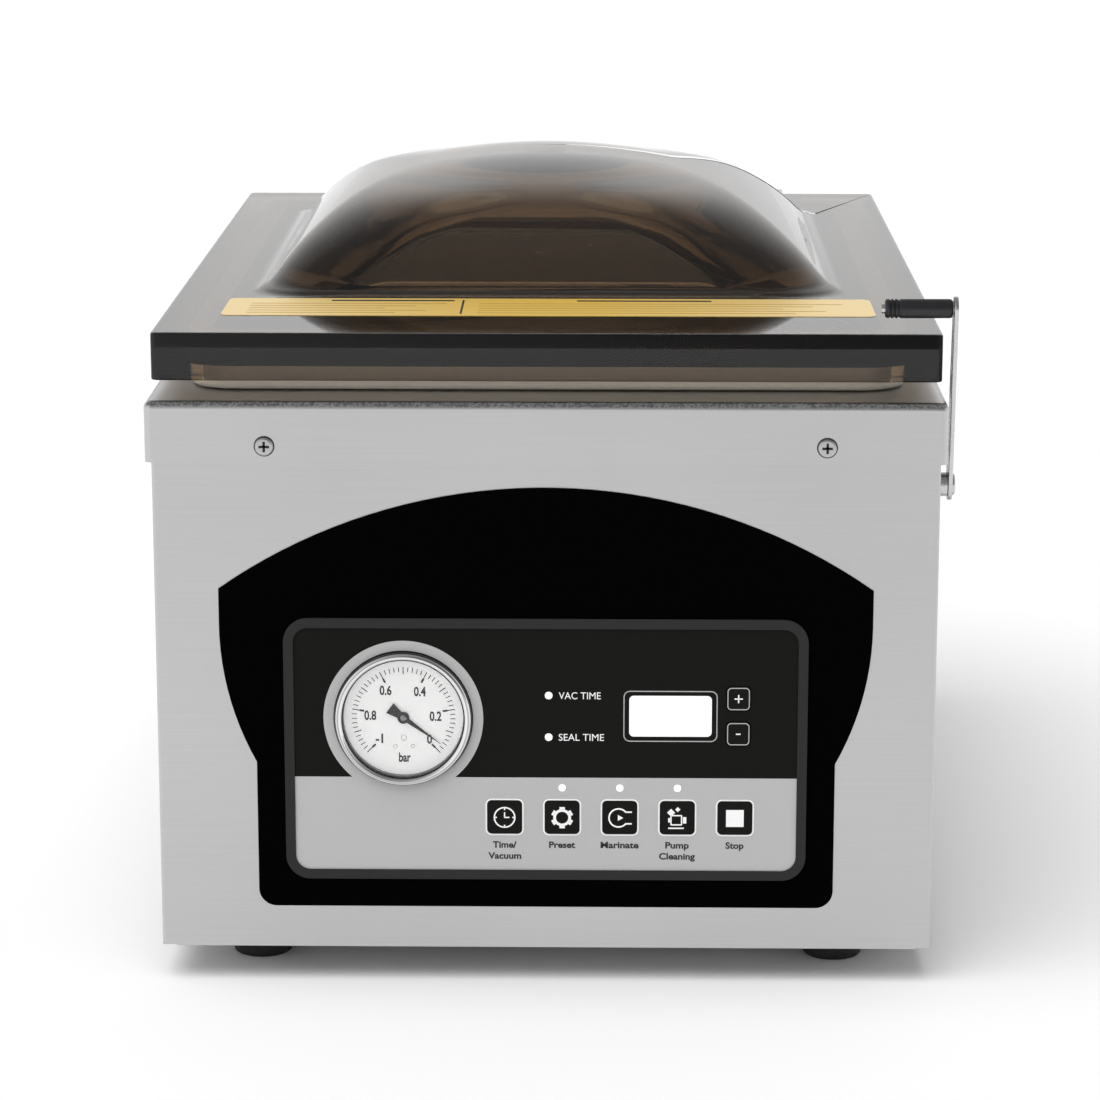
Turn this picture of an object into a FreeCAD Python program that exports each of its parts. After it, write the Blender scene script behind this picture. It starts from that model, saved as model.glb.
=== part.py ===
import FreeCAD, Part
import math
import os

# Tabletop vacuum chamber sealer.
# Millimetres. +X to the operator's right, +Y to the back, +Z up.
# Origin: middle of the footprint, on the surface that the feet stand on.

Vec = FreeCAD.Vector
X_AXIS = Vec(1, 0, 0)
Y_AXIS = Vec(0, 1, 0)
Z_AXIS = Vec(0, 0, 1)
OVERCUT = 1.0                # how far a through cut runs past the material
EMBED = 0.1                  # overlap of two shapes that are fused
TINY = 0.01                  # margin for picking edges by place

# ---------------------------------------------------------------- overall sizes
OVERALL_DEPTH = 480.0
BODY_WIDTH = 325.0
BODY_HEIGHT = 235.0        # cabinet's lower edge to the top of the deck
FOOT_HEIGHT = 15.0
REAR_FITTINGS = 3.0        # how far the inlet and switch stand behind the deck's rim

# ---------------------------------------------------------------- sheet metal
SHEET = 1.2
DECK_SHEET = 1.5
DECK_OVERHANG = 2.5        # rim stands this far outside the cabinet
RIM_HEIGHT = 25.5
BEND_RADIUS = 3.0
REAR_RETURN = 16.0         # width of the cabinet's folded rear flanges
COVER_MARGIN = 4.0
COVER_CLEARANCE = 1.3
RELIEF_WIDTH = 6.0
RELIEF_HEIGHT = 1.6

# ---------------------------------------------------------------- chamber
CHAMBER_WIDTH = 276.0
CHAMBER_LENGTH = 388.0
CHAMBER_DEPTH = 50.0
CHAMBER_CORNER = 18.0
CHAMBER_FLOOR_RADIUS = 10.0
TUB_FLANGE = 8.0
STRAINER_RADIUS = 13.0
STRAINER_HEIGHT = 4.0
STRAINER_EDGE = 1.5
STRAINER_SKIN = 1.2
STRAINER_WALL = 2.0
STRAINER_STEM_RADIUS = 6.0
STRAINER_STEM_WALL = 1.5
STRAINER_SEAT = 0.8
STRAINER_HOLE_RADIUS = 1.3
STRAINER_HOLE_CIRCLE = 7.5
STRAINER_HOLES = 8
BASE_FLANGE = 12.0
BASE_SLOTS = 8
BASE_SLOT_PITCH = 12.0
BASE_SLOT_WIDTH = 4.0
BASE_SLOT_LENGTH = 46.0
BASE_SLOT_X = 75.0
BASE_SLOT_Y = -110.0

# ---------------------------------------------------------------- lid
LID_WIDTH = 326.0
LID_DEPTH = 438.0
LID_THICKNESS = 20.0
LID_SETBACK = 12.0         # lid's front edge behind the rim's front face
LID_GAP = 6.5
LID_EDGE = 1.0
DOME_WIDTH = 253.0
DOME_DEPTH = 281.0
DOME_SETBACK = 96.5        # front of the dome behind the lid's front edge
DOME_HEIGHT = 50.0
DOME_WALL = 8.0
DOME_ANGLE = 50.0          # slope of the dome's walls, degrees
DOME_SHOULDER = 70.0
DOME_CORNER = 25.0
DOME_CORNER_GROWTH = 0.25  # corners grow this much for each millimetre that the dome draws in
SHOULDER_SECTIONS = 6
SEAL_INSET = 13.0
SEAL_WIDTH = 10.0
SEAL_CORNER = 20.0
SEAL_LIFT = 0.3            # closed seal's clearance over the deck
GROOVE_DEPTH = 5.0
GROOVE_CLEARANCE = 0.1
LABEL_WIDTH = 277.0
LABEL_DEPTH = 45.0
LABEL_SETBACK = 44.0
LABEL_CORNER = 4.0
LABEL_FILM = 0.2

# ---------------------------------------------------------------- lid hinges
HINGE_X = 101.0
HINGE_BEHIND_LID = 14.0
HINGE_RISE = 8.0           # pin above the deck
PIN_RADIUS = 3.0
RUNNING_CLEARANCE = 0.05
KNUCKLE_RADIUS = 5.0
LEAF_WIDTH = 30.0
LEAF_THICKNESS = 2.0
LEAF_REACH = 24.0          # leaf's length on the lid
BRACKET_WIDTH = 50.0
BRACKET_PLATE = 2.0
EAR_THICKNESS = 2.5
SPRING_WIRE = 1.0
SPRING_TURNS = 3
SPRING_PITCH = 1.8            # in wire radii
SPRING_CLEARANCE = 0.35
SPRING_SETBACK = 0.4
SPRING_LEG = 9.0
BRACKET_FRONT = 8.0           # base plate in front of the pin
BRACKET_BACK = 11.0           # base plate behind the pin
BRACKET_SCREW_SETBACK = 6.0
LEAF_SCREW_LENGTH = 12.0
HINGE_SCREW_HEAD = 3.2
PIN_HEAD_RADIUS = 4.5
PIN_HEAD_THICKNESS = 1.8
PIN_TAIL = 1.5

# ---------------------------------------------------------------- lid latch
LATCH_PIVOT_SETBACK = 18.0     # pivot behind the rim's front face
LATCH_PIVOT_DROP = 37.2        # pivot below the deck
LATCH_LENGTH = 76.1
LATCH_PLATE = 1.7
LATCH_GAP = 1.4                # lever's inner face outside the rim
GRIP_RADIUS = 4.0
GRIP_LENGTH = 28.0
GRIP_CLEARANCE = 0.6           # grip in front of the lid's edge
LATCH_BOLT_RADIUS = 2.5
LATCH_PIN_RADIUS = 2.0
LATCH_PIVOT_END = 6.5             # lever's half width at the pivot
LATCH_GRIP_END = 5.0              # lever's half width at the grip
LATCH_PIN_TAIL = 1.5
GRIP_PLAY = 0.1
BOLT_PLAY = 0.2
BOLT_HEAD_RADIUS = 4.5
BOLT_HEAD_THICKNESS = 1.2
BOLT_HEAD_EDGE = 0.9
BOLT_TAIL = 6.0
BOLT_NUT_THICKNESS = 4.0
SPACER_RADIUS = 5.0

# ---------------------------------------------------------------- seal bar and lift
SEAL_BAR_LENGTH = 262.0
SEAL_BAR_DEPTH = 14.0
SEAL_BAR_HEIGHT = 14.0
SEAL_BAR_SETBACK = 23.0        # bar's middle behind the chamber's front wall
SEAL_TRAVEL = 6.0
SEAL_FACE_GAP = 0.3
ELEMENT_THICKNESS = 0.4
ELEMENT_WIDTH = 3.0
TAPE_THICKNESS = 0.3
COUNTER_BAR_DEPTH = 22.0
COUNTER_BAR_HEIGHT = 8.0
SILICONE_DEPTH = 12.0
SILICONE_PROUD = 4.5
SILICONE_SEAT = 3.0
LIFT_ROD_RADIUS = 3.0
LIFT_ROD_SPREAD = 95.0
LIFT_CYLINDER_RADIUS = 11.0
LIFT_CYLINDER_LENGTH = 46.0
LIFT_CYLINDER_FLOOR = 5.0
LIFT_ROD_SEAT = 6.0
LIFT_ROD_CLEARANCE = 0.5
LIFT_ROD_DROP = 34.0              # rod's lower end below the chamber's floor
SILICONE_EDGE = 1.2
CLAMP_LENGTH = 4.0
CLAMP_HALF_DEPTH = 5.0
CLAMP_RISE = 2.0
TAPE_INSET = 3.0
TAPE_SKIRT = 6.0

# ---------------------------------------------------------------- front panel
OVERLAY_FILM = 0.5
ARCH_TOP = 214.0
ARCH_SHOULDER = 170.8
ARCH_STRAIGHT_END = 155.4
ARCH_CURVE_END = 96.2
ARCH_BOTTOM = 33.1
ARCH_HALF_WIDTH = 135.8
ARCH_FOOT_HALF_WIDTH = 121.0
ARCH_CORNER = 7.5
BEZEL_WIDTH = 218.4
BEZEL_HEIGHT = 113.0
BEZEL_FRAME = 4.1
BEZEL_CORNER = 10.3
BEZEL_PROUD = 1.2
PANEL_CENTRE_Z = 102.0
FIELD_THICKNESS = 0.6
FIELD_SPLIT_Z = 90.1
WINDOW_MARGIN = 1.1            # sheet opening inside the bezel
CARRIER_DEPTH = 3.0
CARRIER_CLEARANCE = 0.3
KEY_SIZE = 14.2
KEY_CORNER = 1.8
KEY_CLEARANCE = 0.3
KEY_PROUD = 0.6
KEY_FLANGE = 1.1
KEY_FLANGE_THICKNESS = 0.8
KEY_EDGE = 0.3
KEY_STEM_RADIUS = 2.5
KEY_TRAVEL = 0.5
KEY_PITCH = 24.15
KEY_FIRST_X = -17.2
KEY_ROW_Z = 72.8
STEP_KEY_WIDTH = 9.8
STEP_KEY_HEIGHT = 10.1
STEP_KEY_X = 80.4
STEP_KEY_ROWS = (124.7, 109.5)
LED_RADIUS = 1.6
LED_CLEARANCE = 0.1
LED_PROUD = 0.2
LED_COLUMN_X = 1.3
LED_COLUMN_ROWS = (125.7, 107.7)
LED_ROW_Z = 85.7
DISPLAY_X = 52.1
DISPLAY_Z = 116.9
DISPLAY_WIDTH = 34.4
DISPLAY_HEIGHT = 17.6
DISPLAY_CORNER = 1.9
DISPLAY_MARGIN = 1.0           # carrier's opening round the lens
LENS_CLEARANCE = 0.15
LENS_RECESS = 0.1
BOARD_THICKNESS = 1.6
BOARD_STANDOFF = 6.1
BOARD_BOX = (-26.0, 99.0, 54.0, 150.0)   # low X, high X, low Z, high Z
SWITCH_GAP = 0.1
SWITCH_HALF = 3.0
SWITCH_PLUNGER_RADIUS = 1.7
SWITCH_PLUNGER_LENGTH = 1.0
POST_RADIUS = 3.0
POST_INSET = 4.0

# ---------------------------------------------------------------- vacuum gauge
GAUGE_X = -59.4
GAUGE_Z = 115.6
GAUGE_BEZEL_RADIUS = 28.7
GAUGE_FACE_RADIUS = 25.2
GAUGE_CASE_RADIUS = 26.5
GAUGE_SURROUND_RADIUS = 33.4
GAUGE_PROUD = 4.0              # bezel in front of the panel's carrier
GAUGE_CASE_DEPTH = 33.0
GLASS_THICKNESS = 1.2
DIAL_DEPTH = 1.6               # dial behind the carrier's face
DIAL_THICKNESS = 0.4
POINTER_LENGTH = 19.6
POINTER_TAIL = 7.0
POINTER_ANGLE = -36.0          # degrees above the +X direction, at rest
POINTER_HUB_RADIUS = 2.5
SPINDLE_RADIUS = 0.8
GAUGE_CLEARANCE = 0.2
GAUGE_LIP = 0.8
GAUGE_EDGE = 1.6
GAUGE_BORE_CLEARANCE = 0.4
GLASS_SEAT = 0.3
CASE_CLEARANCE = 0.3
MECHANISM_STEP = 3.0
MECHANISM_DEPTH = 5.0
SPINDLE_BORE_DEPTH = 12.0
SPINDLE_DEPTH = 10.0
GAUGE_STEM_RADIUS = 6.5
GAUGE_STEM_LENGTH = 14.0
POINTER_GAP = 0.7              # needle in front of the dial
POINTER_THICKNESS = 0.5
POINTER_HALF_WIDTH = 1.1
POINTER_TAIL_HALF_WIDTH = 2.6
POINTER_HUB_PROUD = 0.4
POINTER_HUB_BACK = 0.2

# ---------------------------------------------------------------- feet and screws
FOOT_BOTTOM_RADIUS = 12.5
FOOT_TOP_RADIUS = 15.0
FOOT_X = 123.5
FOOT_FRONT_SETBACK = 42.7
FOOT_REAR_SETBACK = 42.7
FOOT_EDGE = 1.5
FOOT_SCREW_RADIUS = 2.0
FOOT_HOLE_CLEARANCE = 0.15
FOOT_NUT_RADIUS = 4.0
FOOT_NUT_HEIGHT = 3.2
FOOT_COUNTERBORE = 6.0
FOOT_COUNTERBORE_CLEARANCE = 0.6
FOOT_HEAD_HEIGHT = 2.4
FOOT_RECESS = (1.1, 4.6, 1.2)  # width, length and depth of the cross
FOOT_SCREW_TAIL = 2.0
SCREW_RADIUS = 1.9
SCREW_CLEARANCE = 0.15
SCREW_HEAD_RADIUS = 3.85
SCREW_HEAD_HEIGHT = 1.6
DECK_SCREW_X = 115.5
DECK_SCREW_DROP = 18.5
DECK_SCREW_SIDE_Y = 130.0
DECK_SCREW_TAIL = 2.0
SHORT_SCREW = 8.0
REAR_SCREW_INSET = 12.0
HEAD_ROUNDING = 0.6            # of the head's height
RECESS_WIDTH = 0.28            # of the head's radius
RECESS_LENGTH = 1.15           # of the head's radius

# ---------------------------------------------------------------- rear fittings
INLET_X = -112.0
INLET_Z = 58.0
INLET_WIDTH = 30.0
INLET_HEIGHT = 23.0
INLET_DEPTH = 24.0
INLET_WALL = 3.5
INLET_CUTOUT_CLEARANCE = 0.2
INLET_FLANGE = 4.0
BLADE_SPREAD = 7.0
BLADE_DROP = 2.0
BLADE_RECESS = 5.0
BLADE_HALF_WIDTH = 1.0
BLADE_HALF_HEIGHT = 2.0
INLET_CORNER = 2.0
INLET_MOUTH_CORNER = 3.0
ROCKER_WELL_CORNER = 0.4
ROCKER_Z = 82.0
ROCKER_WIDTH = 24.0
ROCKER_HEIGHT = 13.0
ROCKER_TILT = 8.0
ROCKER_PIVOT_DEPTH = 5.0
ROCKER_END_CLEARANCE = 1.2
ROCKER_SIDE_CLEARANCE = 0.4
ROCKER_SINK = 1.4              # rocker's ends behind the flange's face
ROCKER_DISH = 1.6
ROCKER_TAPER = 1.5
ROCKER_BACK = 1.0
LOUVRE_INSET = 22.0            # first louvre below the cover's top edge
LOUVRE_CENTRE_X = 55.0
LOUVRE_SPREAD = 37.0
LOUVRE_WIDTH = 60.0
LOUVRE_SLOT = 3.5
LOUVRE_ROUNDING = 0.45         # of the slot's height
LOUVRE_PITCH = 11.0
LOUVRE_ROWS = 9

# ---------------------------------------------------------------- pump and electrics
PUMP_X = -25.0
PUMP_Z = 95.0
PUMP_WIDTH = 96.0
PUMP_HEIGHT = 100.0
PUMP_FRONT_Y = -60.0
PUMP_LENGTH = 100.0
PUMP_CORNER = 8.0
PUMP_FINS = 6
PUMP_FIN_START = 0.8           # of the fins' pitch
PUMP_FIN_GAP = 0.4             # of the fins' pitch
PUMP_FIN_DEPTH = 6.0
PUMP_FIN_LOW = 20.0
PUMP_FIN_HIGH = 14.0
PORT_SETBACK = 28.0
PORT_RADIUS = 11.0
PORT_SEAT = 4.0
MOUNT_RADIUS = 9.0
MOUNT_INSET = 14.0
MOTOR_RADIUS = 46.0
MOTOR_LENGTH = 120.0
SHROUD_LENGTH = 26.0
SHROUD_WALL = 2.5
MOTOR_BORE_DEPTH = 40.0
FAN_RADIUS = 38.0
FAN_HUB_RADIUS = 12.0
FAN_BLADES = 7
FAN_GAP = 3.0
FAN_DEPTH = 14.0
FAN_BLADE_PITCH = 32.0
FAN_BLADE_SEAT = 2.0
FAN_BLADE_HALF = 1.0
SHAFT_SEAT = 38.0
SHAFT_RADIUS = 4.0
HOSE_RADIUS = 7.0
HOSE_WALL = 2.0
HOSE_PLAY = 0.02
HOSE_OVERLAP = 8.0
HOSE_BEND = 36.0
HOSE_Z = 165.0
VALVE_DROP = 12.0
VALVE_WIDTH = 30.0
VALVE_BELOW_HOSE = 14.0
VALVE_NOZZLE = 12.0
COIL_RADIUS = 14.0
COIL_LENGTH = 34.0
FILTER_GAP = 40.0
FILTER_RADIUS = 24.0
FILTER_EDGE = 4.0
FILTER_PIPE_RADIUS = 7.0
FILTER_PIPE_RISE = 42.0
FILTER_STAND_HALF = 14.0
TRANSFORMER_X = 98.0
TRANSFORMER_Y = -23.0
TRANSFORMER_WIDTH = 84.0
TRANSFORMER_DEPTH = 40.0
TRANSFORMER_HEIGHT = 70.0
TRANSFORMER_LIMB = 13.0
TRANSFORMER_BULGE = 12.0
WINDING_CLEARANCE = 0.5
CAPACITOR_X = 118.0
CAPACITOR_Y = 70.0
CAPACITOR_RADIUS = 19.0
CAPACITOR_HEIGHT = 84.0
CAPACITOR_EDGE = 1.5
LUG_SPREAD = 7.0
LUG_HALF_WIDTH = 3.0
LUG_HALF_THICKNESS = 0.5
LUG_LENGTH = 9.0
SUCTION_X = 48.0
SUCTION_SETBACK = 35.0         # strainer in front of the chamber's rear wall

# ---------------------------------------------------------------- derived places
DECK_HALF = BODY_WIDTH / 2 + DECK_OVERHANG
DECK_FRONT = -OVERALL_DEPTH / 2
DECK_REAR = OVERALL_DEPTH / 2 - REAR_FITTINGS
DECK_TOP = FOOT_HEIGHT + BODY_HEIGHT
DECK_UNDER = DECK_TOP - DECK_SHEET
CABINET_HALF = BODY_WIDTH / 2
CABINET_FRONT = DECK_FRONT + DECK_OVERHANG
CABINET_REAR = DECK_REAR - DECK_SHEET - COVER_CLEARANCE - SHEET
CABINET_BOTTOM = FOOT_HEIGHT
BASE_TOP = CABINET_BOTTOM + DECK_SHEET
COVER_FACE = CABINET_REAR + SHEET
COVER_LOW = CABINET_BOTTOM + COVER_MARGIN
COVER_HIGH = DECK_TOP - RIM_HEIGHT - COVER_MARGIN
DECK_SCREW_LENGTH = DECK_SHEET + DECK_OVERHANG + SHEET + DECK_SCREW_TAIL
ROCKER_PIVOT_Y = COVER_FACE - ROCKER_PIVOT_DEPTH

LID_FRONT = DECK_FRONT + LID_SETBACK
LID_REAR = LID_FRONT + LID_DEPTH
LID_CENTRE_Y = (LID_FRONT + LID_REAR) / 2
LID_BOTTOM = DECK_TOP + LID_GAP
LID_TOP = LID_BOTTOM + LID_THICKNESS
DOME_CENTRE_Y = LID_FRONT + DOME_SETBACK + DOME_DEPTH / 2

CHAMBER_FRONT = LID_CENTRE_Y - CHAMBER_LENGTH / 2
SUCTION_Y = CHAMBER_FRONT + CHAMBER_LENGTH - SUCTION_SETBACK
FLOOR_TOP = DECK_TOP - CHAMBER_DEPTH
FLOOR_UNDER = FLOOR_TOP - SHEET
VALVE_TOP = FLOOR_UNDER - VALVE_DROP

HINGE_Y = LID_REAR + HINGE_BEHIND_LID
HINGE_Z = DECK_TOP + HINGE_RISE

LATCH_PIVOT_Y = DECK_FRONT + LATCH_PIVOT_SETBACK
LATCH_PIVOT_Z = DECK_TOP - LATCH_PIVOT_DROP
LATCH_INNER_X = DECK_HALF + LATCH_GAP
LATCH_OUTER_X = LATCH_INNER_X + LATCH_PLATE
GRIP_Y = LID_FRONT - GRIP_CLEARANCE - GRIP_RADIUS
GRIP_Z = LATCH_PIVOT_Z + math.sqrt(LATCH_LENGTH ** 2 - (GRIP_Y - LATCH_PIVOT_Y) ** 2)

SEAL_Y = CHAMBER_FRONT + SEAL_BAR_SETBACK
COUNTER_FACE_Z = LID_BOTTOM - COUNTER_BAR_HEIGHT - SILICONE_PROUD + SILICONE_SEAT
TAPE_TOP = COUNTER_FACE_Z - SEAL_FACE_GAP - SEAL_TRAVEL
SEAL_BAR_TOP = TAPE_TOP - TAPE_THICKNESS - ELEMENT_THICKNESS
SEAL_BAR_BOTTOM = SEAL_BAR_TOP - SEAL_BAR_HEIGHT

OVERLAY_FACE = CABINET_FRONT - OVERLAY_FILM
CARRIER_BACK = CABINET_FRONT + CARRIER_DEPTH
FIELD_FACE = OVERLAY_FACE - FIELD_THICKNESS
KEY_FACE = FIELD_FACE - KEY_PROUD
BEZEL_INNER_HALF = BEZEL_WIDTH / 2 - BEZEL_FRAME
BEZEL_INNER_HALF_Z = BEZEL_HEIGHT / 2 - BEZEL_FRAME
BOARD_FRONT = CARRIER_BACK + BOARD_STANDOFF
KEY_STEM_END = CARRIER_BACK + KEY_FLANGE_THICKNESS + SWITCH_GAP * 2
GAUGE_FACE = OVERLAY_FACE - GAUGE_PROUD
DIAL_BACK = OVERLAY_FACE + DIAL_DEPTH + DIAL_THICKNESS

KEY_NAMES = ("key_vacuum", "key_preset", "key_marinate", "key_pump_clean", "key_stop")
KEY_XS = tuple(KEY_FIRST_X + KEY_PITCH * step for step in range(len(KEY_NAMES)))
LED_PLACES = tuple((LED_COLUMN_X, z) for z in LED_COLUMN_ROWS) + tuple((x, LED_ROW_Z) for x in KEY_XS[1:4])

MOTOR_FRONT_Y = PUMP_FRONT_Y + PUMP_LENGTH
PUMP_BOTTOM = PUMP_Z - PUMP_HEIGHT / 2
PUMP_TOP = PUMP_Z + PUMP_HEIGHT / 2
MOTOR_REAR_Y = MOTOR_FRONT_Y + MOTOR_LENGTH
FOOT_YS = (DECK_FRONT + FOOT_FRONT_SETBACK, DECK_REAR - FOOT_REAR_SETBACK)
FOOT_PLACES = tuple((x, y) for x in (-FOOT_X, FOOT_X) for y in FOOT_YS)


# ---------------------------------------------------------------- shape helpers
def box(x0, x1, y0, y1, z0, z1):
    return Part.makeBox(x1 - x0, y1 - y0, z1 - z0, Vec(x0, y0, z0))


def rod(radius, start, end):
    span = Vec(*end) - Vec(*start)
    return Part.makeCylinder(radius, span.Length, Vec(*start), span)


def tube(outer, inner, start, end):
    return rod(outer, start, end).cut(rod(inner, start, end))


def is_parallel(edge, axis):
    if not isinstance(edge.Curve, Part.Line):
        return False
    return abs(abs(edge.tangentAt(edge.FirstParameter).dot(axis)) - 1) < 1e-6


def edges_along(shape, axis):
    return [edge for edge in shape.Edges if is_parallel(edge, axis)]


def edges_at_height(shape, z):
    level = 1e-6
    return [e for e in shape.Edges if abs(e.BoundBox.ZMin - z) < level and abs(e.BoundBox.ZMax - z) < level]


def upright_plate(x0, x1, z0, z1, radius, y0, y1):
    plate = box(x0, x1, y0, y1, z0, z1)
    return plate.makeFillet(radius, edges_along(plate, Y_AXIS))


def upright_pad(x, z, width, height, radius, y0, y1):
    return upright_plate(x - width / 2, x + width / 2, z - height / 2, z + height / 2, radius, y0, y1)


def flat_slab(half_x, half_y, centre_y, radius, z0, z1):
    slab = box(-half_x, half_x, centre_y - half_y, centre_y + half_y, z0, z1)
    return slab.makeFillet(radius, edges_along(slab, Z_AXIS))


def rounded_loop(half_x, half_y, centre_y, radius, z):
    corners = ((1, 1, 0), (-1, 1, 90), (-1, -1, 180), (1, -1, 270))
    arcs = []
    for side_x, side_y, start in corners:
        centre = Vec(side_x * (half_x - radius), centre_y + side_y * (half_y - radius), z)
        circle = Part.Circle(centre, Z_AXIS, radius)
        arcs.append(Part.Arc(circle, math.radians(start), math.radians(start + 90)).toShape())
    edges = []
    for index, arc in enumerate(arcs):
        following = arcs[(index + 1) % len(arcs)]
        edges.append(arc)
        end, start = arc.valueAt(arc.LastParameter), following.valueAt(following.FirstParameter)
        edges.append(Part.makeLine(end, start))
    return Part.Wire(edges)


def fused(shapes):
    first, *others = shapes
    return first.fuse(others).removeSplitter() if others else first


def group(shapes):
    return Part.makeCompound(list(shapes))


def placed(shape, point, direction):
    turned = shape.copy()
    turned.Placement = FreeCAD.Placement(Vec(*point), FreeCAD.Rotation(Z_AXIS, direction))
    return turned


def cross_recess(width, length, depth, top):
    low = top - depth
    bars = (box(-length / 2, length / 2, -width / 2, width / 2, low, top + OVERCUT),
            box(-width / 2, width / 2, -length / 2, length / 2, low, top + OVERCUT))
    return fused(bars)


def pan_screw(shank_length, point, direction, radius=SCREW_RADIUS, head=SCREW_HEAD_RADIUS):
    top = SCREW_HEAD_HEIGHT
    cap = Part.makeCylinder(head, top)
    cap = cap.makeFillet(top * HEAD_ROUNDING, edges_at_height(cap, top))
    cap = cap.cut(cross_recess(head * RECESS_WIDTH, head * RECESS_LENGTH, top * HEAD_ROUNDING, top))
    shank = Part.makeCylinder(radius, shank_length, Vec(0, 0, -shank_length))
    return placed(cap.fuse(shank).removeSplitter(), point, direction)


def cut_round(shape, radius, start, end):
    return shape.cut(rod(radius, start, end))


# ---------------------------------------------------------------- housing
def deck_screw_places():
    """Point on the rim and outward direction of each rim screw."""
    z = DECK_TOP - DECK_SCREW_DROP
    places = []
    for side in (-1, 1):
        places.append(((side * DECK_SCREW_X, DECK_FRONT, z), Vec(0, -1, 0)))
        places.append(((side * DECK_SCREW_X, DECK_REAR, z), Vec(0, 1, 0)))
        for y in (-DECK_SCREW_SIDE_Y, DECK_SCREW_SIDE_Y):
            places.append(((side * DECK_HALF, y, z), Vec(side, 0, 0)))
    return places


def drill_deck_screws(sheet):
    radius = SCREW_RADIUS + SCREW_CLEARANCE
    for point, outward in deck_screw_places():
        inner = Vec(*point) - outward * (DECK_SCREW_LENGTH + OVERCUT)
        sheet = cut_round(sheet, radius, point, tuple(inner))
    return sheet


def panel_window(y0, y1, clearance=0.0):
    half = BEZEL_INNER_HALF - WINDOW_MARGIN - clearance
    half_z = BEZEL_INNER_HALF_Z - WINDOW_MARGIN - clearance
    low, high = PANEL_CENTRE_Z - half_z, PANEL_CENTRE_Z + half_z
    return upright_plate(-half, half, low, high, BEZEL_CORNER / 2, y0, y1)


def cabinet_wrap():
    outer = box(-CABINET_HALF, CABINET_HALF, CABINET_FRONT, CABINET_REAR, CABINET_BOTTOM, DECK_UNDER)
    outer = outer.makeFillet(BEND_RADIUS / 2, edges_along(outer, Z_AXIS))
    inner_half = CABINET_HALF - SHEET
    inner_front = CABINET_FRONT + SHEET
    inner = box(-inner_half, inner_half, inner_front, CABINET_REAR - SHEET, CABINET_BOTTOM, DECK_UNDER)
    window_half = inner_half - REAR_RETURN
    rear_window = box(-window_half, window_half, 0, CABINET_REAR, CABINET_BOTTOM, DECK_UNDER)
    wrap = outer.cut(inner).cut(rear_window)
    wrap = wrap.cut(panel_window(CABINET_FRONT, inner_front))
    for side in (-1, 1):
        edge = side * CABINET_HALF
        inset = side * (CABINET_HALF - RELIEF_WIDTH)
        x0, x1 = min(edge, inset), max(edge, inset)
        relief_top = CABINET_BOTTOM + RELIEF_HEIGHT
        wrap = wrap.cut(box(x0, x1, CABINET_FRONT, inner_front, CABINET_BOTTOM, relief_top))
    wrap = drill_deck_screws(wrap)
    bolt_hole = LATCH_BOLT_RADIUS + SCREW_CLEARANCE
    pivot = (LATCH_PIVOT_Y, LATCH_PIVOT_Z)
    wrap = cut_round(wrap, bolt_hole, (inner_half - OVERCUT, *pivot), (CABINET_HALF + OVERCUT, *pivot))
    for x, z in rear_screw_places():
        hole = SCREW_RADIUS + SCREW_CLEARANCE
        start = (x, CABINET_REAR - SHEET - OVERCUT, z)
        wrap = cut_round(wrap, hole, start, (x, CABINET_REAR, z))
    return wrap


def top_deck():
    outer = box(-DECK_HALF, DECK_HALF, DECK_FRONT, DECK_REAR, DECK_TOP - RIM_HEIGHT, DECK_TOP)
    outer = outer.makeFillet(BEND_RADIUS, edges_along(outer, Z_AXIS) + top_edges(outer, DECK_TOP))
    half = DECK_HALF - DECK_SHEET
    front, rear = DECK_FRONT + DECK_SHEET, DECK_REAR - DECK_SHEET
    inner = box(-half, half, front, rear, DECK_TOP - RIM_HEIGHT, DECK_UNDER)
    deck = outer.cut(inner)
    opening = flat_slab(CHAMBER_WIDTH / 2, CHAMBER_LENGTH / 2, LID_CENTRE_Y, CHAMBER_CORNER,
                        DECK_UNDER, DECK_TOP)
    deck = drill_deck_screws(deck.cut(opening))
    for x, y in bracket_screw_places():
        hole = SCREW_RADIUS + SCREW_CLEARANCE
        deck = cut_round(deck, hole, (x, y, DECK_UNDER - OVERCUT), (x, y, DECK_TOP + OVERCUT))
    return deck


def top_edges(shape, z):
    return [edge for edge in edges_at_height(shape, z) if isinstance(edge.Curve, Part.Line)]


def chamber_tub():
    half_x, half_y = CHAMBER_WIDTH / 2, CHAMBER_LENGTH / 2
    outer = flat_slab(half_x + SHEET, half_y + SHEET, LID_CENTRE_Y, CHAMBER_CORNER + SHEET,
                      FLOOR_UNDER, DECK_UNDER)
    outer = outer.makeFillet(CHAMBER_FLOOR_RADIUS + SHEET, edges_at_height(outer, FLOOR_UNDER))
    flange = flat_slab(half_x + TUB_FLANGE, half_y + TUB_FLANGE, LID_CENTRE_Y, CHAMBER_CORNER + TUB_FLANGE,
                       DECK_UNDER - SHEET, DECK_UNDER)
    cavity = flat_slab(half_x, half_y, LID_CENTRE_Y, CHAMBER_CORNER, FLOOR_TOP, DECK_UNDER)
    cavity = cavity.makeFillet(CHAMBER_FLOOR_RADIUS, edges_at_height(cavity, FLOOR_TOP))
    tub = outer.fuse(flange).cut(cavity)
    low, high = FLOOR_UNDER - OVERCUT, FLOOR_TOP + OVERCUT
    for side in (-1, 1):
        x = side * LIFT_ROD_SPREAD
        tub = cut_round(tub, LIFT_ROD_RADIUS + LIFT_ROD_CLEARANCE, (x, SEAL_Y, low), (x, SEAL_Y, high))
    stem = STRAINER_STEM_RADIUS + SCREW_CLEARANCE
    return cut_round(tub, stem, (SUCTION_X, SUCTION_Y, low), (SUCTION_X, SUCTION_Y, high))


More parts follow.
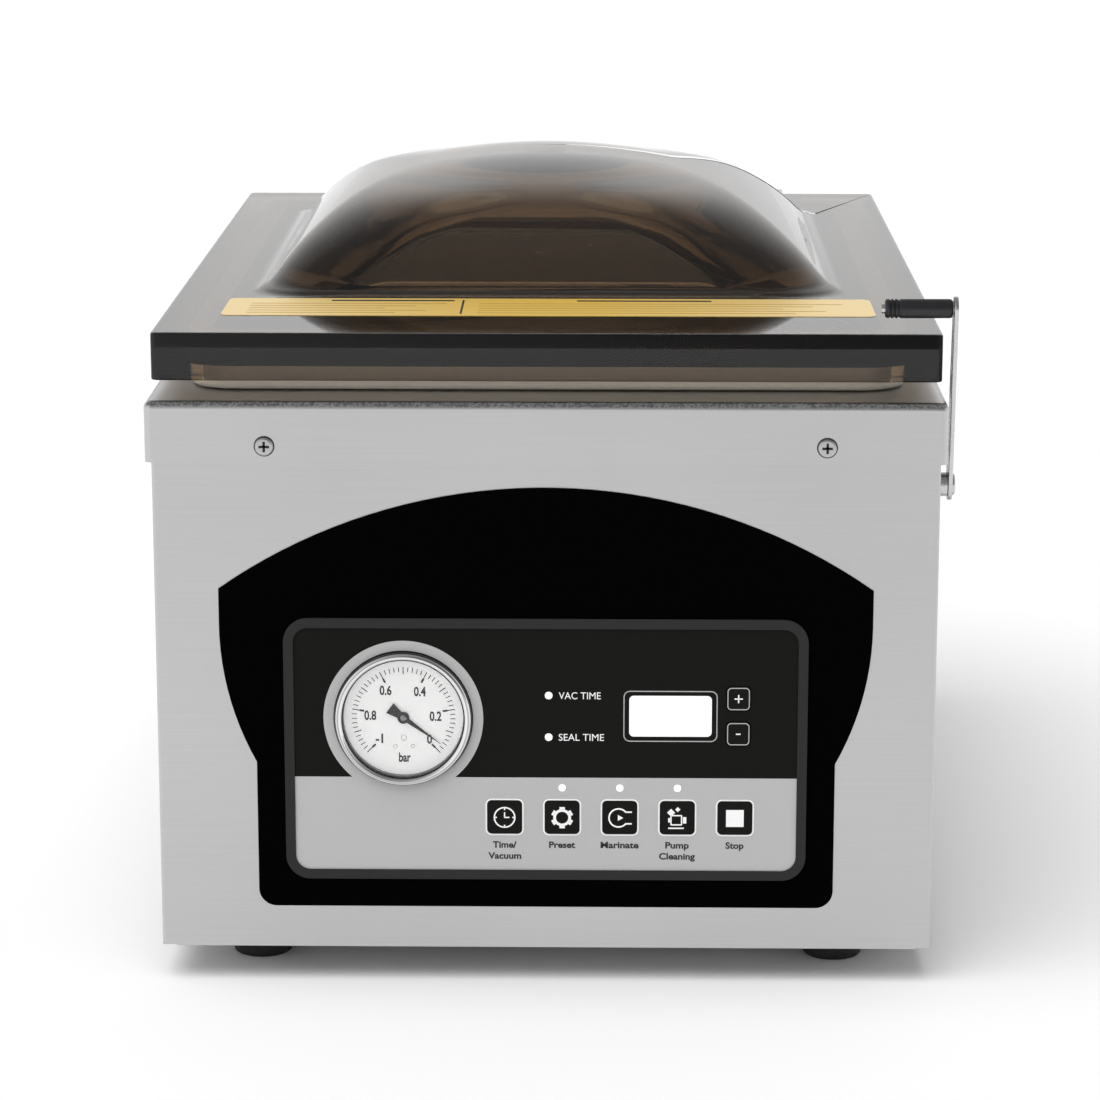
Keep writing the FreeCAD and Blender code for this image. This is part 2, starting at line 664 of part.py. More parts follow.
def suction_strainer():
    centre = (SUCTION_X, SUCTION_Y)
    cap_top = FLOOR_TOP + STRAINER_HEIGHT
    cap = rod(STRAINER_RADIUS, (*centre, FLOOR_TOP), (*centre, cap_top))
    cap = cap.makeFillet(STRAINER_EDGE, edges_at_height(cap, cap_top))
    inner = STRAINER_RADIUS - STRAINER_WALL
    cap = cap.cut(rod(inner, (*centre, FLOOR_TOP), (*centre, cap_top - STRAINER_SKIN)))
    bore = STRAINER_STEM_RADIUS - STRAINER_STEM_WALL
    stem = tube(STRAINER_STEM_RADIUS, bore, (*centre, VALVE_TOP), (*centre, FLOOR_TOP))
    collar = tube(inner + EMBED, bore, (*centre, FLOOR_TOP), (*centre, FLOOR_TOP + STRAINER_SEAT))
    strainer = fused((cap, stem, collar))
    for step in range(STRAINER_HOLES):
        angle = 2 * math.pi * step / STRAINER_HOLES
        x = SUCTION_X + STRAINER_HOLE_CIRCLE * math.cos(angle)
        y = SUCTION_Y + STRAINER_HOLE_CIRCLE * math.sin(angle)
        low = cap_top - STRAINER_SKIN - OVERCUT
        strainer = cut_round(strainer, STRAINER_HOLE_RADIUS, (x, y, low), (x, y, cap_top + OVERCUT))
    return strainer


def base_pan():
    half = CABINET_HALF - SHEET
    front, rear = CABINET_FRONT + SHEET, CABINET_REAR - SHEET
    outer = box(-half, half, front, rear, CABINET_BOTTOM, BASE_TOP + BASE_FLANGE)
    inner = box(-half + DECK_SHEET, half - DECK_SHEET, front + DECK_SHEET, rear - DECK_SHEET,
                BASE_TOP, BASE_TOP + BASE_FLANGE)
    pan = outer.cut(inner)
    for side in (-1, 1):
        for step in range(BASE_SLOTS):
            x = side * BASE_SLOT_X
            y = (step - (BASE_SLOTS - 1) / 2) * BASE_SLOT_PITCH + BASE_SLOT_Y
            slot = box(x - BASE_SLOT_LENGTH / 2, x + BASE_SLOT_LENGTH / 2, y - BASE_SLOT_WIDTH / 2,
                       y + BASE_SLOT_WIDTH / 2, CABINET_BOTTOM, BASE_TOP)
            pan = pan.cut(slot)
    for x, y in FOOT_PLACES:
        hole = FOOT_SCREW_RADIUS + FOOT_HOLE_CLEARANCE
        pan = cut_round(pan, hole, (x, y, CABINET_BOTTOM - OVERCUT), (x, y, BASE_TOP + OVERCUT))
    return pan


def rubber_feet():
    feet = []
    for x, y in FOOT_PLACES:
        cone = Part.makeCone(FOOT_BOTTOM_RADIUS, FOOT_TOP_RADIUS, FOOT_HEIGHT, Vec(x, y, 0))
        cone = cone.makeFillet(FOOT_EDGE, edges_at_height(cone, 0))
        counterbore = FOOT_SCREW_RADIUS * 2 + FOOT_COUNTERBORE_CLEARANCE
        cone = cut_round(cone, counterbore, (x, y, 0), (x, y, FOOT_COUNTERBORE))
        hole = FOOT_SCREW_RADIUS + FOOT_HOLE_CLEARANCE
        feet.append(cut_round(cone, hole, (x, y, 0), (x, y, FOOT_HEIGHT)))
    return group(feet)


def foot_screws():
    pieces = []
    nut_top = BASE_TOP + FOOT_NUT_HEIGHT
    angles = [math.pi * step / 3 for step in range(7)]
    corners = [Vec(math.cos(angle), math.sin(angle), 0) * FOOT_NUT_RADIUS for angle in angles]
    for x, y in FOOT_PLACES:
        head_z = FOOT_COUNTERBORE - FOOT_HEAD_HEIGHT
        head = rod(FOOT_SCREW_RADIUS * 2, (x, y, head_z), (x, y, FOOT_COUNTERBORE))
        head = head.cut(placed(cross_recess(*FOOT_RECESS, 0), (x, y, head_z), -Z_AXIS))
        shank = rod(FOOT_SCREW_RADIUS, (x, y, FOOT_COUNTERBORE), (x, y, nut_top + FOOT_SCREW_TAIL))
        pieces.append(head.fuse(shank))
        hexagon = Part.Face(Part.makePolygon(corners)).extrude(Vec(0, 0, FOOT_NUT_HEIGHT))
        hexagon.translate(Vec(x, y, BASE_TOP))
        hole = FOOT_SCREW_RADIUS + SCREW_CLEARANCE / 2
        pieces.append(cut_round(hexagon, hole, (x, y, BASE_TOP), (x, y, nut_top)))
    return group(pieces)


def rear_screw_places():
    x = CABINET_HALF - SHEET - REAR_RETURN / 2
    low, high = COVER_LOW + REAR_SCREW_INSET, COVER_HIGH - REAR_SCREW_INSET
    heights = (low, (low + high) / 2, high)
    return [(side * x, z) for side in (-1, 1) for z in heights]


def rear_cover():
    half = CABINET_HALF - COVER_MARGIN
    cover = box(-half, half, CABINET_REAR, COVER_FACE, COVER_LOW, COVER_HIGH)
    for side in (-1, 1):
        for row in range(LOUVRE_ROWS):
            z = COVER_HIGH - LOUVRE_INSET - row * LOUVRE_PITCH
            x = LOUVRE_CENTRE_X + side * LOUVRE_SPREAD
            corner = LOUVRE_SLOT * LOUVRE_ROUNDING
            slot = upright_pad(x, z, LOUVRE_WIDTH, LOUVRE_SLOT, corner, CABINET_REAR, COVER_FACE)
            cover = cover.cut(slot)
    cover = cover.cut(inlet_module_barrel(INLET_CUTOUT_CLEARANCE, CABINET_REAR, COVER_FACE))
    for x, z in rear_screw_places():
        start, end = (x, CABINET_REAR - OVERCUT, z), (x, COVER_FACE + OVERCUT, z)
        cover = cut_round(cover, SCREW_RADIUS + SCREW_CLEARANCE, start, end)
    return cover


def rear_cover_screws():
    return group(pan_screw(SHORT_SCREW, (x, COVER_FACE, z), Y_AXIS) for x, z in rear_screw_places())


def deck_screws():
    screws = [pan_screw(DECK_SCREW_LENGTH, point, outward) for point, outward in deck_screw_places()]
    bracket_top = DECK_TOP + BRACKET_PLATE
    for x, y in bracket_screw_places():
        screws.append(pan_screw(SHORT_SCREW, (x, y, bracket_top), Z_AXIS, head=HINGE_SCREW_HEAD))
    return group(screws)


# ---------------------------------------------------------------- lid
def dome_profile(height, angle, shoulder):
    """Inset and height of each section: a straight wall, then a round shoulder."""
    lean = math.radians(angle)
    wall = height / math.sin(lean) - shoulder * math.tan(lean / 2)
    points = [(0.0, 0.0), (wall * math.cos(lean), wall * math.sin(lean))]
    centre_inset = points[1][0] + shoulder * math.sin(lean)
    centre_height = points[1][1] - shoulder * math.cos(lean)
    for step in range(1, SHOULDER_SECTIONS + 1):
        turn = lean * (1 - step / SHOULDER_SECTIONS)
        points.append((centre_inset - shoulder * math.sin(turn), centre_height + shoulder * math.cos(turn)))
    return points


def dome_solid(half_x, half_y, corner, height, shoulder, base_z):
    loops = []
    for inset, rise in dome_profile(height, DOME_ANGLE, shoulder):
        radius = corner + DOME_CORNER_GROWTH * inset
        loops.append(rounded_loop(half_x - inset, half_y - inset, DOME_CENTRE_Y, radius, base_z + rise))
    return Part.makeLoft(loops, True, True)


def lid_shell():
    lean = math.radians(DOME_ANGLE)
    half_x, half_y = DOME_WIDTH / 2, DOME_DEPTH / 2
    plate = box(-LID_WIDTH / 2, LID_WIDTH / 2, LID_FRONT, LID_REAR, LID_BOTTOM, LID_TOP)
    plate = plate.makeFillet(LID_EDGE * 2, edges_along(plate, Z_AXIS))
    plate = plate.makeChamfer(LID_EDGE, edges_at_height(plate, LID_TOP) + edges_at_height(plate, LID_BOTTOM))
    dome = dome_solid(half_x, half_y, DOME_CORNER, DOME_HEIGHT, DOME_SHOULDER, LID_TOP)
    spread = LID_THICKNESS / math.tan(lean) - DOME_WALL / math.sin(lean)
    hollow_height = DOME_HEIGHT - DOME_WALL + LID_THICKNESS
    hollow = dome_solid(half_x + spread, half_y + spread, DOME_CORNER, hollow_height,
                        DOME_SHOULDER - DOME_WALL, LID_BOTTOM)
    groove = seal_ring(GROOVE_CLEARANCE, LID_BOTTOM, LID_BOTTOM + GROOVE_DEPTH)
    shell = plate.fuse(dome).cut(hollow).cut(groove)
    for x, y in leaf_screw_places():
        start, end = (x, y, LID_TOP - LEAF_SCREW_LENGTH), (x, y, LID_TOP + OVERCUT)
        shell = cut_round(shell, SCREW_RADIUS + SCREW_CLEARANCE, start, end)
    return shell


def seal_ring(clearance, z0, z1):
    half_x = LID_WIDTH / 2 - SEAL_INSET + clearance
    half_y = LID_DEPTH / 2 - SEAL_INSET + clearance
    width = SEAL_WIDTH + 2 * clearance
    outer = flat_slab(half_x, half_y, LID_CENTRE_Y, SEAL_CORNER + clearance, z0, z1)
    inner = flat_slab(half_x - width, half_y - width, LID_CENTRE_Y, SEAL_CORNER + clearance - width, z0, z1)
    return outer.cut(inner)


def lid_seal():
    return seal_ring(0.0, DECK_TOP + SEAL_LIFT, LID_BOTTOM + GROOVE_DEPTH)


def lid_label():
    half, front = LABEL_WIDTH / 2, LID_FRONT + LABEL_SETBACK
    label = box(-half, half, front, front + LABEL_DEPTH, LID_TOP, LID_TOP + LABEL_FILM)
    return label.makeFillet(LABEL_CORNER, edges_along(label, Z_AXIS))


def counter_bar_holder():
    half = SEAL_BAR_LENGTH / 2
    bottom = LID_BOTTOM - COUNTER_BAR_HEIGHT
    reach, seat_reach = COUNTER_BAR_DEPTH / 2, SILICONE_DEPTH / 2
    bar = box(-half, half, SEAL_Y - reach, SEAL_Y + reach, bottom, LID_BOTTOM)
    seat = box(-half, half, SEAL_Y - seat_reach, SEAL_Y + seat_reach, bottom, bottom + SILICONE_SEAT)
    return bar.cut(seat)


def counter_bar_silicone():
    half = SEAL_BAR_LENGTH / 2
    seat_z = LID_BOTTOM - COUNTER_BAR_HEIGHT + SILICONE_SEAT
    reach = SILICONE_DEPTH / 2
    strip = box(-half, half, SEAL_Y - reach, SEAL_Y + reach, COUNTER_FACE_Z, seat_z)
    lower = [edge for edge in edges_along(strip, X_AXIS) if edge.BoundBox.ZMax < seat_z - TINY]
    return strip.makeFillet(SILICONE_EDGE, lower)


# ---------------------------------------------------------------- lid hinges
def hinge_screw_places(y):
    """Two screws for each hinge, in one row."""
    offset = LEAF_WIDTH / 4
    return [(side * HINGE_X + step, y) for side in (-1, 1) for step in (-offset, offset)]


def leaf_screw_places():
    return hinge_screw_places(LID_REAR - LEAF_REACH / 2)


def bracket_screw_places():
    return hinge_screw_places(HINGE_Y + BRACKET_SCREW_SETBACK)


def lid_hinge_leaf(x):
    x0, x1 = x - LEAF_WIDTH / 2, x + LEAF_WIDTH / 2
    low = HINGE_Z - KNUCKLE_RADIUS
    back = LID_REAR + LEAF_THICKNESS
    flange = box(x0, x1, LID_REAR - LEAF_REACH, back, LID_TOP, LID_TOP + LEAF_THICKNESS)
    drop = box(x0, x1, LID_REAR, back, low, LID_TOP + LEAF_THICKNESS)
    arm = box(x0, x1, LID_REAR, HINGE_Y, low, low + LEAF_THICKNESS * 1.5)
    knuckle = rod(KNUCKLE_RADIUS, (x0, HINGE_Y, HINGE_Z), (x1, HINGE_Y, HINGE_Z))
    leaf = fused((flange, drop, arm, knuckle))
    leaf = cut_round(leaf, PIN_RADIUS + RUNNING_CLEARANCE, (x0, HINGE_Y, HINGE_Z), (x1, HINGE_Y, HINGE_Z))
    for hole_x, y in leaf_screw_places():
        if x0 < hole_x < x1:
            start, end = (hole_x, y, LID_TOP), (hole_x, y, LID_TOP + LEAF_THICKNESS + OVERCUT)
            leaf = cut_round(leaf, SCREW_RADIUS + SCREW_CLEARANCE, start, end)
    return leaf


def lid_hinge_leaves():
    return group(lid_hinge_leaf(side * HINGE_X) for side in (-1, 1))


def lid_hinge_screws():
    top = LID_TOP + LEAF_THICKNESS
    screws = []
    for x, y in leaf_screw_places():
        screws.append(pan_screw(LEAF_SCREW_LENGTH, (x, y, top), Z_AXIS, head=HINGE_SCREW_HEAD))
    return group(screws)


def hinge_bracket(x):
    half = BRACKET_WIDTH / 2
    base = box(x - half, x + half, HINGE_Y - BRACKET_FRONT, HINGE_Y + BRACKET_BACK,
               DECK_TOP, DECK_TOP + BRACKET_PLATE)
    pieces = [base]
    for side in (-1, 1):
        outer = x + side * half
        inner = outer - side * EAR_THICKNESS
        x0, x1 = min(outer, inner), max(outer, inner)
        pieces.append(box(x0, x1, HINGE_Y - KNUCKLE_RADIUS, HINGE_Y + KNUCKLE_RADIUS, DECK_TOP, HINGE_Z))
        pieces.append(rod(KNUCKLE_RADIUS, (x0, HINGE_Y, HINGE_Z), (x1, HINGE_Y, HINGE_Z)))
    bracket = fused(pieces)
    reach = half + OVERCUT
    bore = PIN_RADIUS + RUNNING_CLEARANCE
    bracket = cut_round(bracket, bore, (x - reach, HINGE_Y, HINGE_Z), (x + reach, HINGE_Y, HINGE_Z))
    low, high = DECK_TOP - OVERCUT, DECK_TOP + BRACKET_PLATE + OVERCUT
    for hole_x, y in bracket_screw_places():
        if abs(hole_x - x) < half:
            bracket = cut_round(bracket, SCREW_RADIUS + SCREW_CLEARANCE, (hole_x, y, low), (hole_x, y, high))
    return bracket


def hinge_brackets():
    return group(hinge_bracket(side * HINGE_X) for side in (-1, 1))


def hinge_pins():
    pins = []
    for side in (-1, 1):
        x = side * HINGE_X
        start = x - BRACKET_WIDTH / 2 - PIN_HEAD_THICKNESS
        end = x + BRACKET_WIDTH / 2 + PIN_TAIL
        pin = rod(PIN_RADIUS, (start, HINGE_Y, HINGE_Z), (end, HINGE_Y, HINGE_Z))
        head = rod(PIN_HEAD_RADIUS, (start, HINGE_Y, HINGE_Z), (start + PIN_HEAD_THICKNESS, HINGE_Y, HINGE_Z))
        pins.append(fused((pin, head)))
    return group(pins)


def hinge_springs():
    """A torsion spring on each pin, right of the knuckle: turns side by side and two legs."""
    springs = []
    coil = PIN_RADIUS + SPRING_WIRE + SPRING_CLEARANCE
    for side in (-1, 1):
        start = side * HINGE_X + LEAF_WIDTH / 2 + SPRING_WIRE + SPRING_SETBACK
        turns = []
        for turn in range(SPRING_TURNS):
            x = start + turn * SPRING_WIRE * SPRING_PITCH
            turns.append(Part.makeTorus(coil, SPRING_WIRE, Vec(x, HINGE_Y, HINGE_Z), X_AXIS))
        low = (start, HINGE_Y, HINGE_Z - coil)
        turns.append(rod(SPRING_WIRE, low, (start, HINGE_Y + SPRING_LEG, HINGE_Z - coil)))
        springs.append(fused(turns))
    return group(springs)


# ---------------------------------------------------------------- lid latch
def latch_lever():
    pivot = Vec(LATCH_INNER_X, LATCH_PIVOT_Y, LATCH_PIVOT_Z)
    tip = Vec(LATCH_INNER_X, GRIP_Y, GRIP_Z)
    wide, narrow = LATCH_PIVOT_END, LATCH_GRIP_END
    along = (tip - pivot).normalize()
    across = along.cross(X_AXIS)
    corners = [pivot + across * wide, tip + across * narrow, tip - across * narrow, pivot - across * wide]
    web = Part.Face(Part.makePolygon(corners + corners[:1])).extrude(Vec(LATCH_PLATE, 0, 0))
    low = Part.makeCylinder(wide, LATCH_PLATE, pivot, X_AXIS)
    high = Part.makeCylinder(narrow, LATCH_PLATE, tip, X_AXIS)
    lever = fused((web, low, high))
    lever = lever.cut(Part.makeCylinder(LATCH_BOLT_RADIUS + RUNNING_CLEARANCE, LATCH_PLATE, pivot, X_AXIS))
    return lever.cut(Part.makeCylinder(LATCH_PIN_RADIUS, LATCH_PLATE, tip, X_AXIS))


def latch_pin():
    end = LATCH_INNER_X - GRIP_LENGTH - LATCH_PIN_TAIL
    return rod(LATCH_PIN_RADIUS, (end, GRIP_Y, GRIP_Z), (LATCH_OUTER_X, GRIP_Y, GRIP_Z))


def latch_grip():
    end = LATCH_INNER_X - GRIP_LENGTH
    start = LATCH_INNER_X - GRIP_PLAY
    return tube(GRIP_RADIUS, LATCH_PIN_RADIUS, (end, GRIP_Y, GRIP_Z), (start, GRIP_Y, GRIP_Z))


def latch_pivot_bolt():
    """Shoulder bolt through the cabinet's side, with the spacer that holds the lever clear of the rim."""
    centre = (LATCH_PIVOT_Y, LATCH_PIVOT_Z)
    wall = CABINET_HALF - SHEET
    hole = LATCH_BOLT_RADIUS + SCREW_CLEARANCE
    head_x = LATCH_OUTER_X + BOLT_PLAY
    shank = rod(LATCH_BOLT_RADIUS, (wall - BOLT_TAIL, *centre), (head_x, *centre))
    head = rod(BOLT_HEAD_RADIUS, (head_x, *centre), (head_x + BOLT_HEAD_THICKNESS, *centre))
    rim = [edge for edge in head.Edges if edge.BoundBox.XMin > head_x + TINY]
    head = head.makeFillet(BOLT_HEAD_EDGE, rim)
    nut = tube(BOLT_HEAD_RADIUS, hole, (wall - BOLT_NUT_THICKNESS, *centre), (wall, *centre))
    spacer = tube(SPACER_RADIUS, hole, (CABINET_HALF, *centre), (LATCH_INNER_X - BOLT_PLAY, *centre))
    return group((fused((shank, head)), nut, spacer))


# ---------------------------------------------------------------- seal bar
def seal_bar():
    half = SEAL_BAR_LENGTH / 2
    reach = SEAL_BAR_DEPTH / 2
    bar = box(-half, half, SEAL_Y - reach, SEAL_Y + reach, SEAL_BAR_BOTTOM, SEAL_BAR_TOP)
    for side in (-1, 1):
        x = side * LIFT_ROD_SPREAD
        start = (x, SEAL_Y, SEAL_BAR_BOTTOM)
        bar = cut_round(bar, LIFT_ROD_RADIUS, start, (x, SEAL_Y, SEAL_BAR_BOTTOM + LIFT_ROD_SEAT))
    return bar


def heating_element():
    """Flat heating ribbon with a brass clamp block at each end of the bar."""
    half = SEAL_BAR_LENGTH / 2
    ribbon = box(-half, half, SEAL_Y - ELEMENT_WIDTH / 2, SEAL_Y + ELEMENT_WIDTH / 2,
                 SEAL_BAR_TOP, SEAL_BAR_TOP + ELEMENT_THICKNESS)
    pieces = [ribbon]
    for side in (-1, 1):
        x0, x1 = sorted((side * half, side * (half + CLAMP_LENGTH)))
        y0, y1 = SEAL_Y - CLAMP_HALF_DEPTH, SEAL_Y + CLAMP_HALF_DEPTH
        pieces.append(box(x0, x1, y0, y1, SEAL_BAR_BOTTOM + CLAMP_RISE, SEAL_BAR_TOP))
    return group(pieces)


def ptfe_tape():
    half = SEAL_BAR_LENGTH / 2 - TAPE_INSET
    half_y = SEAL_BAR_DEPTH / 2
    top = box(-half, half, SEAL_Y - half_y, SEAL_Y + half_y, TAPE_TOP - TAPE_THICKNESS, TAPE_TOP)
    skirts = []
    for side in (-1, 1):
        y0, y1 = sorted((SEAL_Y + side * half_y, SEAL_Y + side * (half_y + TAPE_THICKNESS)))
        skirts.append(box(-half, half, y0, y1, SEAL_BAR_TOP - TAPE_SKIRT, TAPE_TOP))
    return fused((top, *skirts))


def lift_rods():
    top = SEAL_BAR_BOTTOM + LIFT_ROD_SEAT
    low = FLOOR_UNDER - LIFT_ROD_DROP
    xs = (-LIFT_ROD_SPREAD, LIFT_ROD_SPREAD)
    return group(rod(LIFT_ROD_RADIUS, (x, SEAL_Y, low), (x, SEAL_Y, top)) for x in xs)


def lift_cylinders():
    cylinders = []
    for side in (-1, 1):
        x = side * LIFT_ROD_SPREAD
        low = FLOOR_UNDER - LIFT_CYLINDER_LENGTH
        barrel = rod(LIFT_CYLINDER_RADIUS, (x, SEAL_Y, low), (x, SEAL_Y, FLOOR_UNDER))
        bore = LIFT_ROD_RADIUS + RUNNING_CLEARANCE
        start = (x, SEAL_Y, low + LIFT_CYLINDER_FLOOR)
        cylinders.append(cut_round(barrel, bore, start, (x, SEAL_Y, FLOOR_UNDER)))
    return group(cylinders)


# ---------------------------------------------------------------- front panel
def arch_outline():
    """Closed outline of the black front film, at Y = 0."""
    rise = ARCH_STRAIGHT_END - ARCH_CURVE_END
    draw_in = ARCH_HALF_WIDTH - ARCH_FOOT_HALF_WIDTH
    side_radius = (rise ** 2 + draw_in ** 2) / (2 * draw_in)
    half_turn = math.asin(rise / side_radius) / 2
    middle_x = ARCH_HALF_WIDTH - side_radius * (1 - math.cos(half_turn))
    middle_z = ARCH_STRAIGHT_END - side_radius * math.sin(half_turn)
    foot_z = ARCH_BOTTOM + ARCH_CORNER
    corner_x = ARCH_FOOT_HALF_WIDTH - ARCH_CORNER
    bulge = ARCH_CORNER * (1 - math.sqrt(0.5))

    def at(x, z):
        return Vec(x, 0, z)

    left, right = at(-ARCH_HALF_WIDTH, ARCH_SHOULDER), at(ARCH_HALF_WIDTH, ARCH_SHOULDER)
    edges = [Part.Arc(left, at(0, ARCH_TOP), right).toShape()]
    for side in (1, -1):
        shoulder = at(side * ARCH_HALF_WIDTH, ARCH_SHOULDER)
        straight_end = at(side * ARCH_HALF_WIDTH, ARCH_STRAIGHT_END)
        middle = at(side * middle_x, middle_z)
        curve_end = at(side * ARCH_FOOT_HALF_WIDTH, ARCH_CURVE_END)
        foot = at(side * ARCH_FOOT_HALF_WIDTH, foot_z)
        corner_mid = at(side * (ARCH_FOOT_HALF_WIDTH - bulge), ARCH_BOTTOM + bulge)
        bottom = at(side * corner_x, ARCH_BOTTOM)
        edges.append(Part.makeLine(shoulder, straight_end))
        edges.append(Part.Arc(straight_end, middle, curve_end).toShape())
        edges.append(Part.makeLine(curve_end, foot))
        edges.append(Part.Arc(foot, corner_mid, bottom).toShape())
    edges.append(Part.makeLine(at(-corner_x, ARCH_BOTTOM), at(corner_x, ARCH_BOTTOM)))
    return Part.Wire(Part.sortEdges(edges)[0])


def panel_overlay():
    film = Part.Face(arch_outline()).extrude(Vec(0, OVERLAY_FILM, 0))
    film.translate(Vec(0, OVERLAY_FACE, 0))
    return film.cut(panel_window(OVERLAY_FACE, CABINET_FRONT))


def panel_bezel():
    y0 = OVERLAY_FACE - BEZEL_PROUD
    outer = upright_pad(0, PANEL_CENTRE_Z, BEZEL_WIDTH, BEZEL_HEIGHT, BEZEL_CORNER, y0, OVERLAY_FACE)
    return outer.cut(bezel_opening(y0, OVERLAY_FACE))


def bezel_opening(y0, y1):
    width, height = BEZEL_INNER_HALF * 2, BEZEL_INNER_HALF_Z * 2
    return upright_pad(0, PANEL_CENTRE_Z, width, height, BEZEL_CORNER - BEZEL_FRAME, y0, y1)


def gauge_disc(radius, y0, y1):
    return rod(radius, (GAUGE_X, y0, GAUGE_Z), (GAUGE_X, y1, GAUGE_Z))


def key_holes(clearance, y0, y1):
    size = KEY_SIZE + 2 * clearance
    corner = KEY_CORNER + clearance
    holes = [upright_pad(x, KEY_ROW_Z, size, size, corner, y0, y1) for x in KEY_XS]
    width, height = STEP_KEY_WIDTH + 2 * clearance, STEP_KEY_HEIGHT + 2 * clearance
    holes += [upright_pad(STEP_KEY_X, z, width, height, corner, y0, y1) for z in STEP_KEY_ROWS]
    return holes


def led_holes(y0, y1):
    radius = LED_RADIUS + LED_CLEARANCE
    return [rod(radius, (x, y0, z), (x, y1, z)) for x, z in LED_PLACES]


def lower_field_region():
    low = box(-DECK_HALF, DECK_HALF, FIELD_FACE, OVERLAY_FACE, 0, FIELD_SPLIT_Z)
    return low.fuse(gauge_disc(GAUGE_SURROUND_RADIUS, FIELD_FACE, OVERLAY_FACE))


def panel_field(is_lower):
    field = bezel_opening(FIELD_FACE, OVERLAY_FACE)
    region = lower_field_region()
    field = field.common(region) if is_lower else field.cut(region)
    cutters = key_holes(KEY_CLEARANCE, FIELD_FACE, OVERLAY_FACE) + led_holes(FIELD_FACE, OVERLAY_FACE)
    cutters.append(display_opening(LENS_CLEARANCE, FIELD_FACE, OVERLAY_FACE))
    cutters.append(gauge_disc(GAUGE_BEZEL_RADIUS + GAUGE_CLEARANCE, FIELD_FACE, OVERLAY_FACE))
    for cutter in cutters:
        field = field.cut(cutter)
    return field


def display_opening(clearance, y0, y1):
    width, height = DISPLAY_WIDTH + 2 * clearance, DISPLAY_HEIGHT + 2 * clearance
    return upright_pad(DISPLAY_X, DISPLAY_Z, width, height, DISPLAY_CORNER, y0, y1)


def panel_carrier():
    carrier = panel_window(OVERLAY_FACE, CARRIER_BACK, CARRIER_CLEARANCE)
    cutters = key_holes(KEY_CLEARANCE, OVERLAY_FACE, CARRIER_BACK) + led_holes(OVERLAY_FACE, CARRIER_BACK)
    cutters.append(display_opening(-DISPLAY_MARGIN, OVERLAY_FACE, CARRIER_BACK))
    cutters.append(gauge_disc(GAUGE_CASE_RADIUS + CASE_CLEARANCE, OVERLAY_FACE, CARRIER_BACK))
    for cutter in cutters:
        carrier = carrier.cut(cutter)
    posts = [rod(POST_RADIUS, (x, CARRIER_BACK, z), (x, BOARD_FRONT, z)) for x, z in board_post_places()]
    return fused([carrier] + posts)


def board_post_places():
    x0, x1, z0, z1 = BOARD_BOX
    return [(x, z) for x in (x0 + POST_INSET, x1 - POST_INSET) for z in (z0 + POST_INSET, z1 - POST_INSET)]


def display_lens():
    return display_opening(0.0, FIELD_FACE + LENS_RECESS, OVERLAY_FACE)


def indicator_leds():
    front = FIELD_FACE - LED_PROUD
    return group(rod(LED_RADIUS, (x, front, z), (x, BOARD_FRONT, z)) for x, z in LED_PLACES)


def key(x, z, width, height):
    cap = upright_pad(x, z, width, height, KEY_CORNER, KEY_FACE, CARRIER_BACK + SWITCH_GAP)
    face_edges = [edge for edge in cap.Edges if edge.BoundBox.YMax < KEY_FACE + TINY]
    cap = cap.makeFillet(KEY_EDGE, face_edges)
    back = CARRIER_BACK + SWITCH_GAP + KEY_FLANGE_THICKNESS
    flange = upright_pad(x, z, width + 2 * KEY_FLANGE, height + 2 * KEY_FLANGE, KEY_CORNER,
                         CARRIER_BACK + SWITCH_GAP, back)
    stem = rod(KEY_STEM_RADIUS, (x, back, z), (x, KEY_STEM_END, z))
    return fused((cap, flange, stem))


def function_key(index):
    return key(KEY_XS[index], KEY_ROW_Z, KEY_SIZE, KEY_SIZE)


def step_key(row):
    return key(STEP_KEY_X, STEP_KEY_ROWS[row], STEP_KEY_WIDTH, STEP_KEY_HEIGHT)


def control_board():
    """Circuit board, its seven push switches and the display module, each a piece of its own."""
    x0, x1, z0, z1 = BOARD_BOX
    pieces = [box(x0, x1, BOARD_FRONT, BOARD_FRONT + BOARD_THICKNESS, z0, z1)]
    switch_tip = KEY_STEM_END + KEY_TRAVEL + SWITCH_GAP
    places = [(x, KEY_ROW_Z) for x in KEY_XS] + [(STEP_KEY_X, z) for z in STEP_KEY_ROWS]
    for x, z in places:
        front = switch_tip + SWITCH_PLUNGER_LENGTH
        body = box(x - SWITCH_HALF, x + SWITCH_HALF, front, BOARD_FRONT, z - SWITCH_HALF, z + SWITCH_HALF)
        plunger = rod(SWITCH_PLUNGER_RADIUS, (x, switch_tip, z), (x, front, z))
        pieces.append(fused((body, plunger)))
    margin = -DISPLAY_MARGIN - CARRIER_CLEARANCE
    pieces.append(display_opening(margin, OVERLAY_FACE + LENS_RECESS, BOARD_FRONT))
    return group(pieces)


# ---------------------------------------------------------------- vacuum gauge
def gauge_bezel():
    lip_back = GAUGE_FACE + GAUGE_LIP
    ring = gauge_disc(GAUGE_BEZEL_RADIUS, GAUGE_FACE, OVERLAY_FACE)
    front = [edge for edge in ring.Edges if edge.BoundBox.YMax < GAUGE_FACE + TINY]
    ring = ring.makeFillet(GAUGE_EDGE, front)
    ring = ring.cut(gauge_disc(GAUGE_FACE_RADIUS, GAUGE_FACE, lip_back))
    return ring.cut(gauge_disc(GAUGE_FACE_RADIUS + GAUGE_BORE_CLEARANCE, lip_back, OVERLAY_FACE))


def gauge_glass():
    start = GAUGE_FACE + GAUGE_LIP
    return gauge_disc(GAUGE_FACE_RADIUS + GLASS_SEAT, start, start + GLASS_THICKNESS)


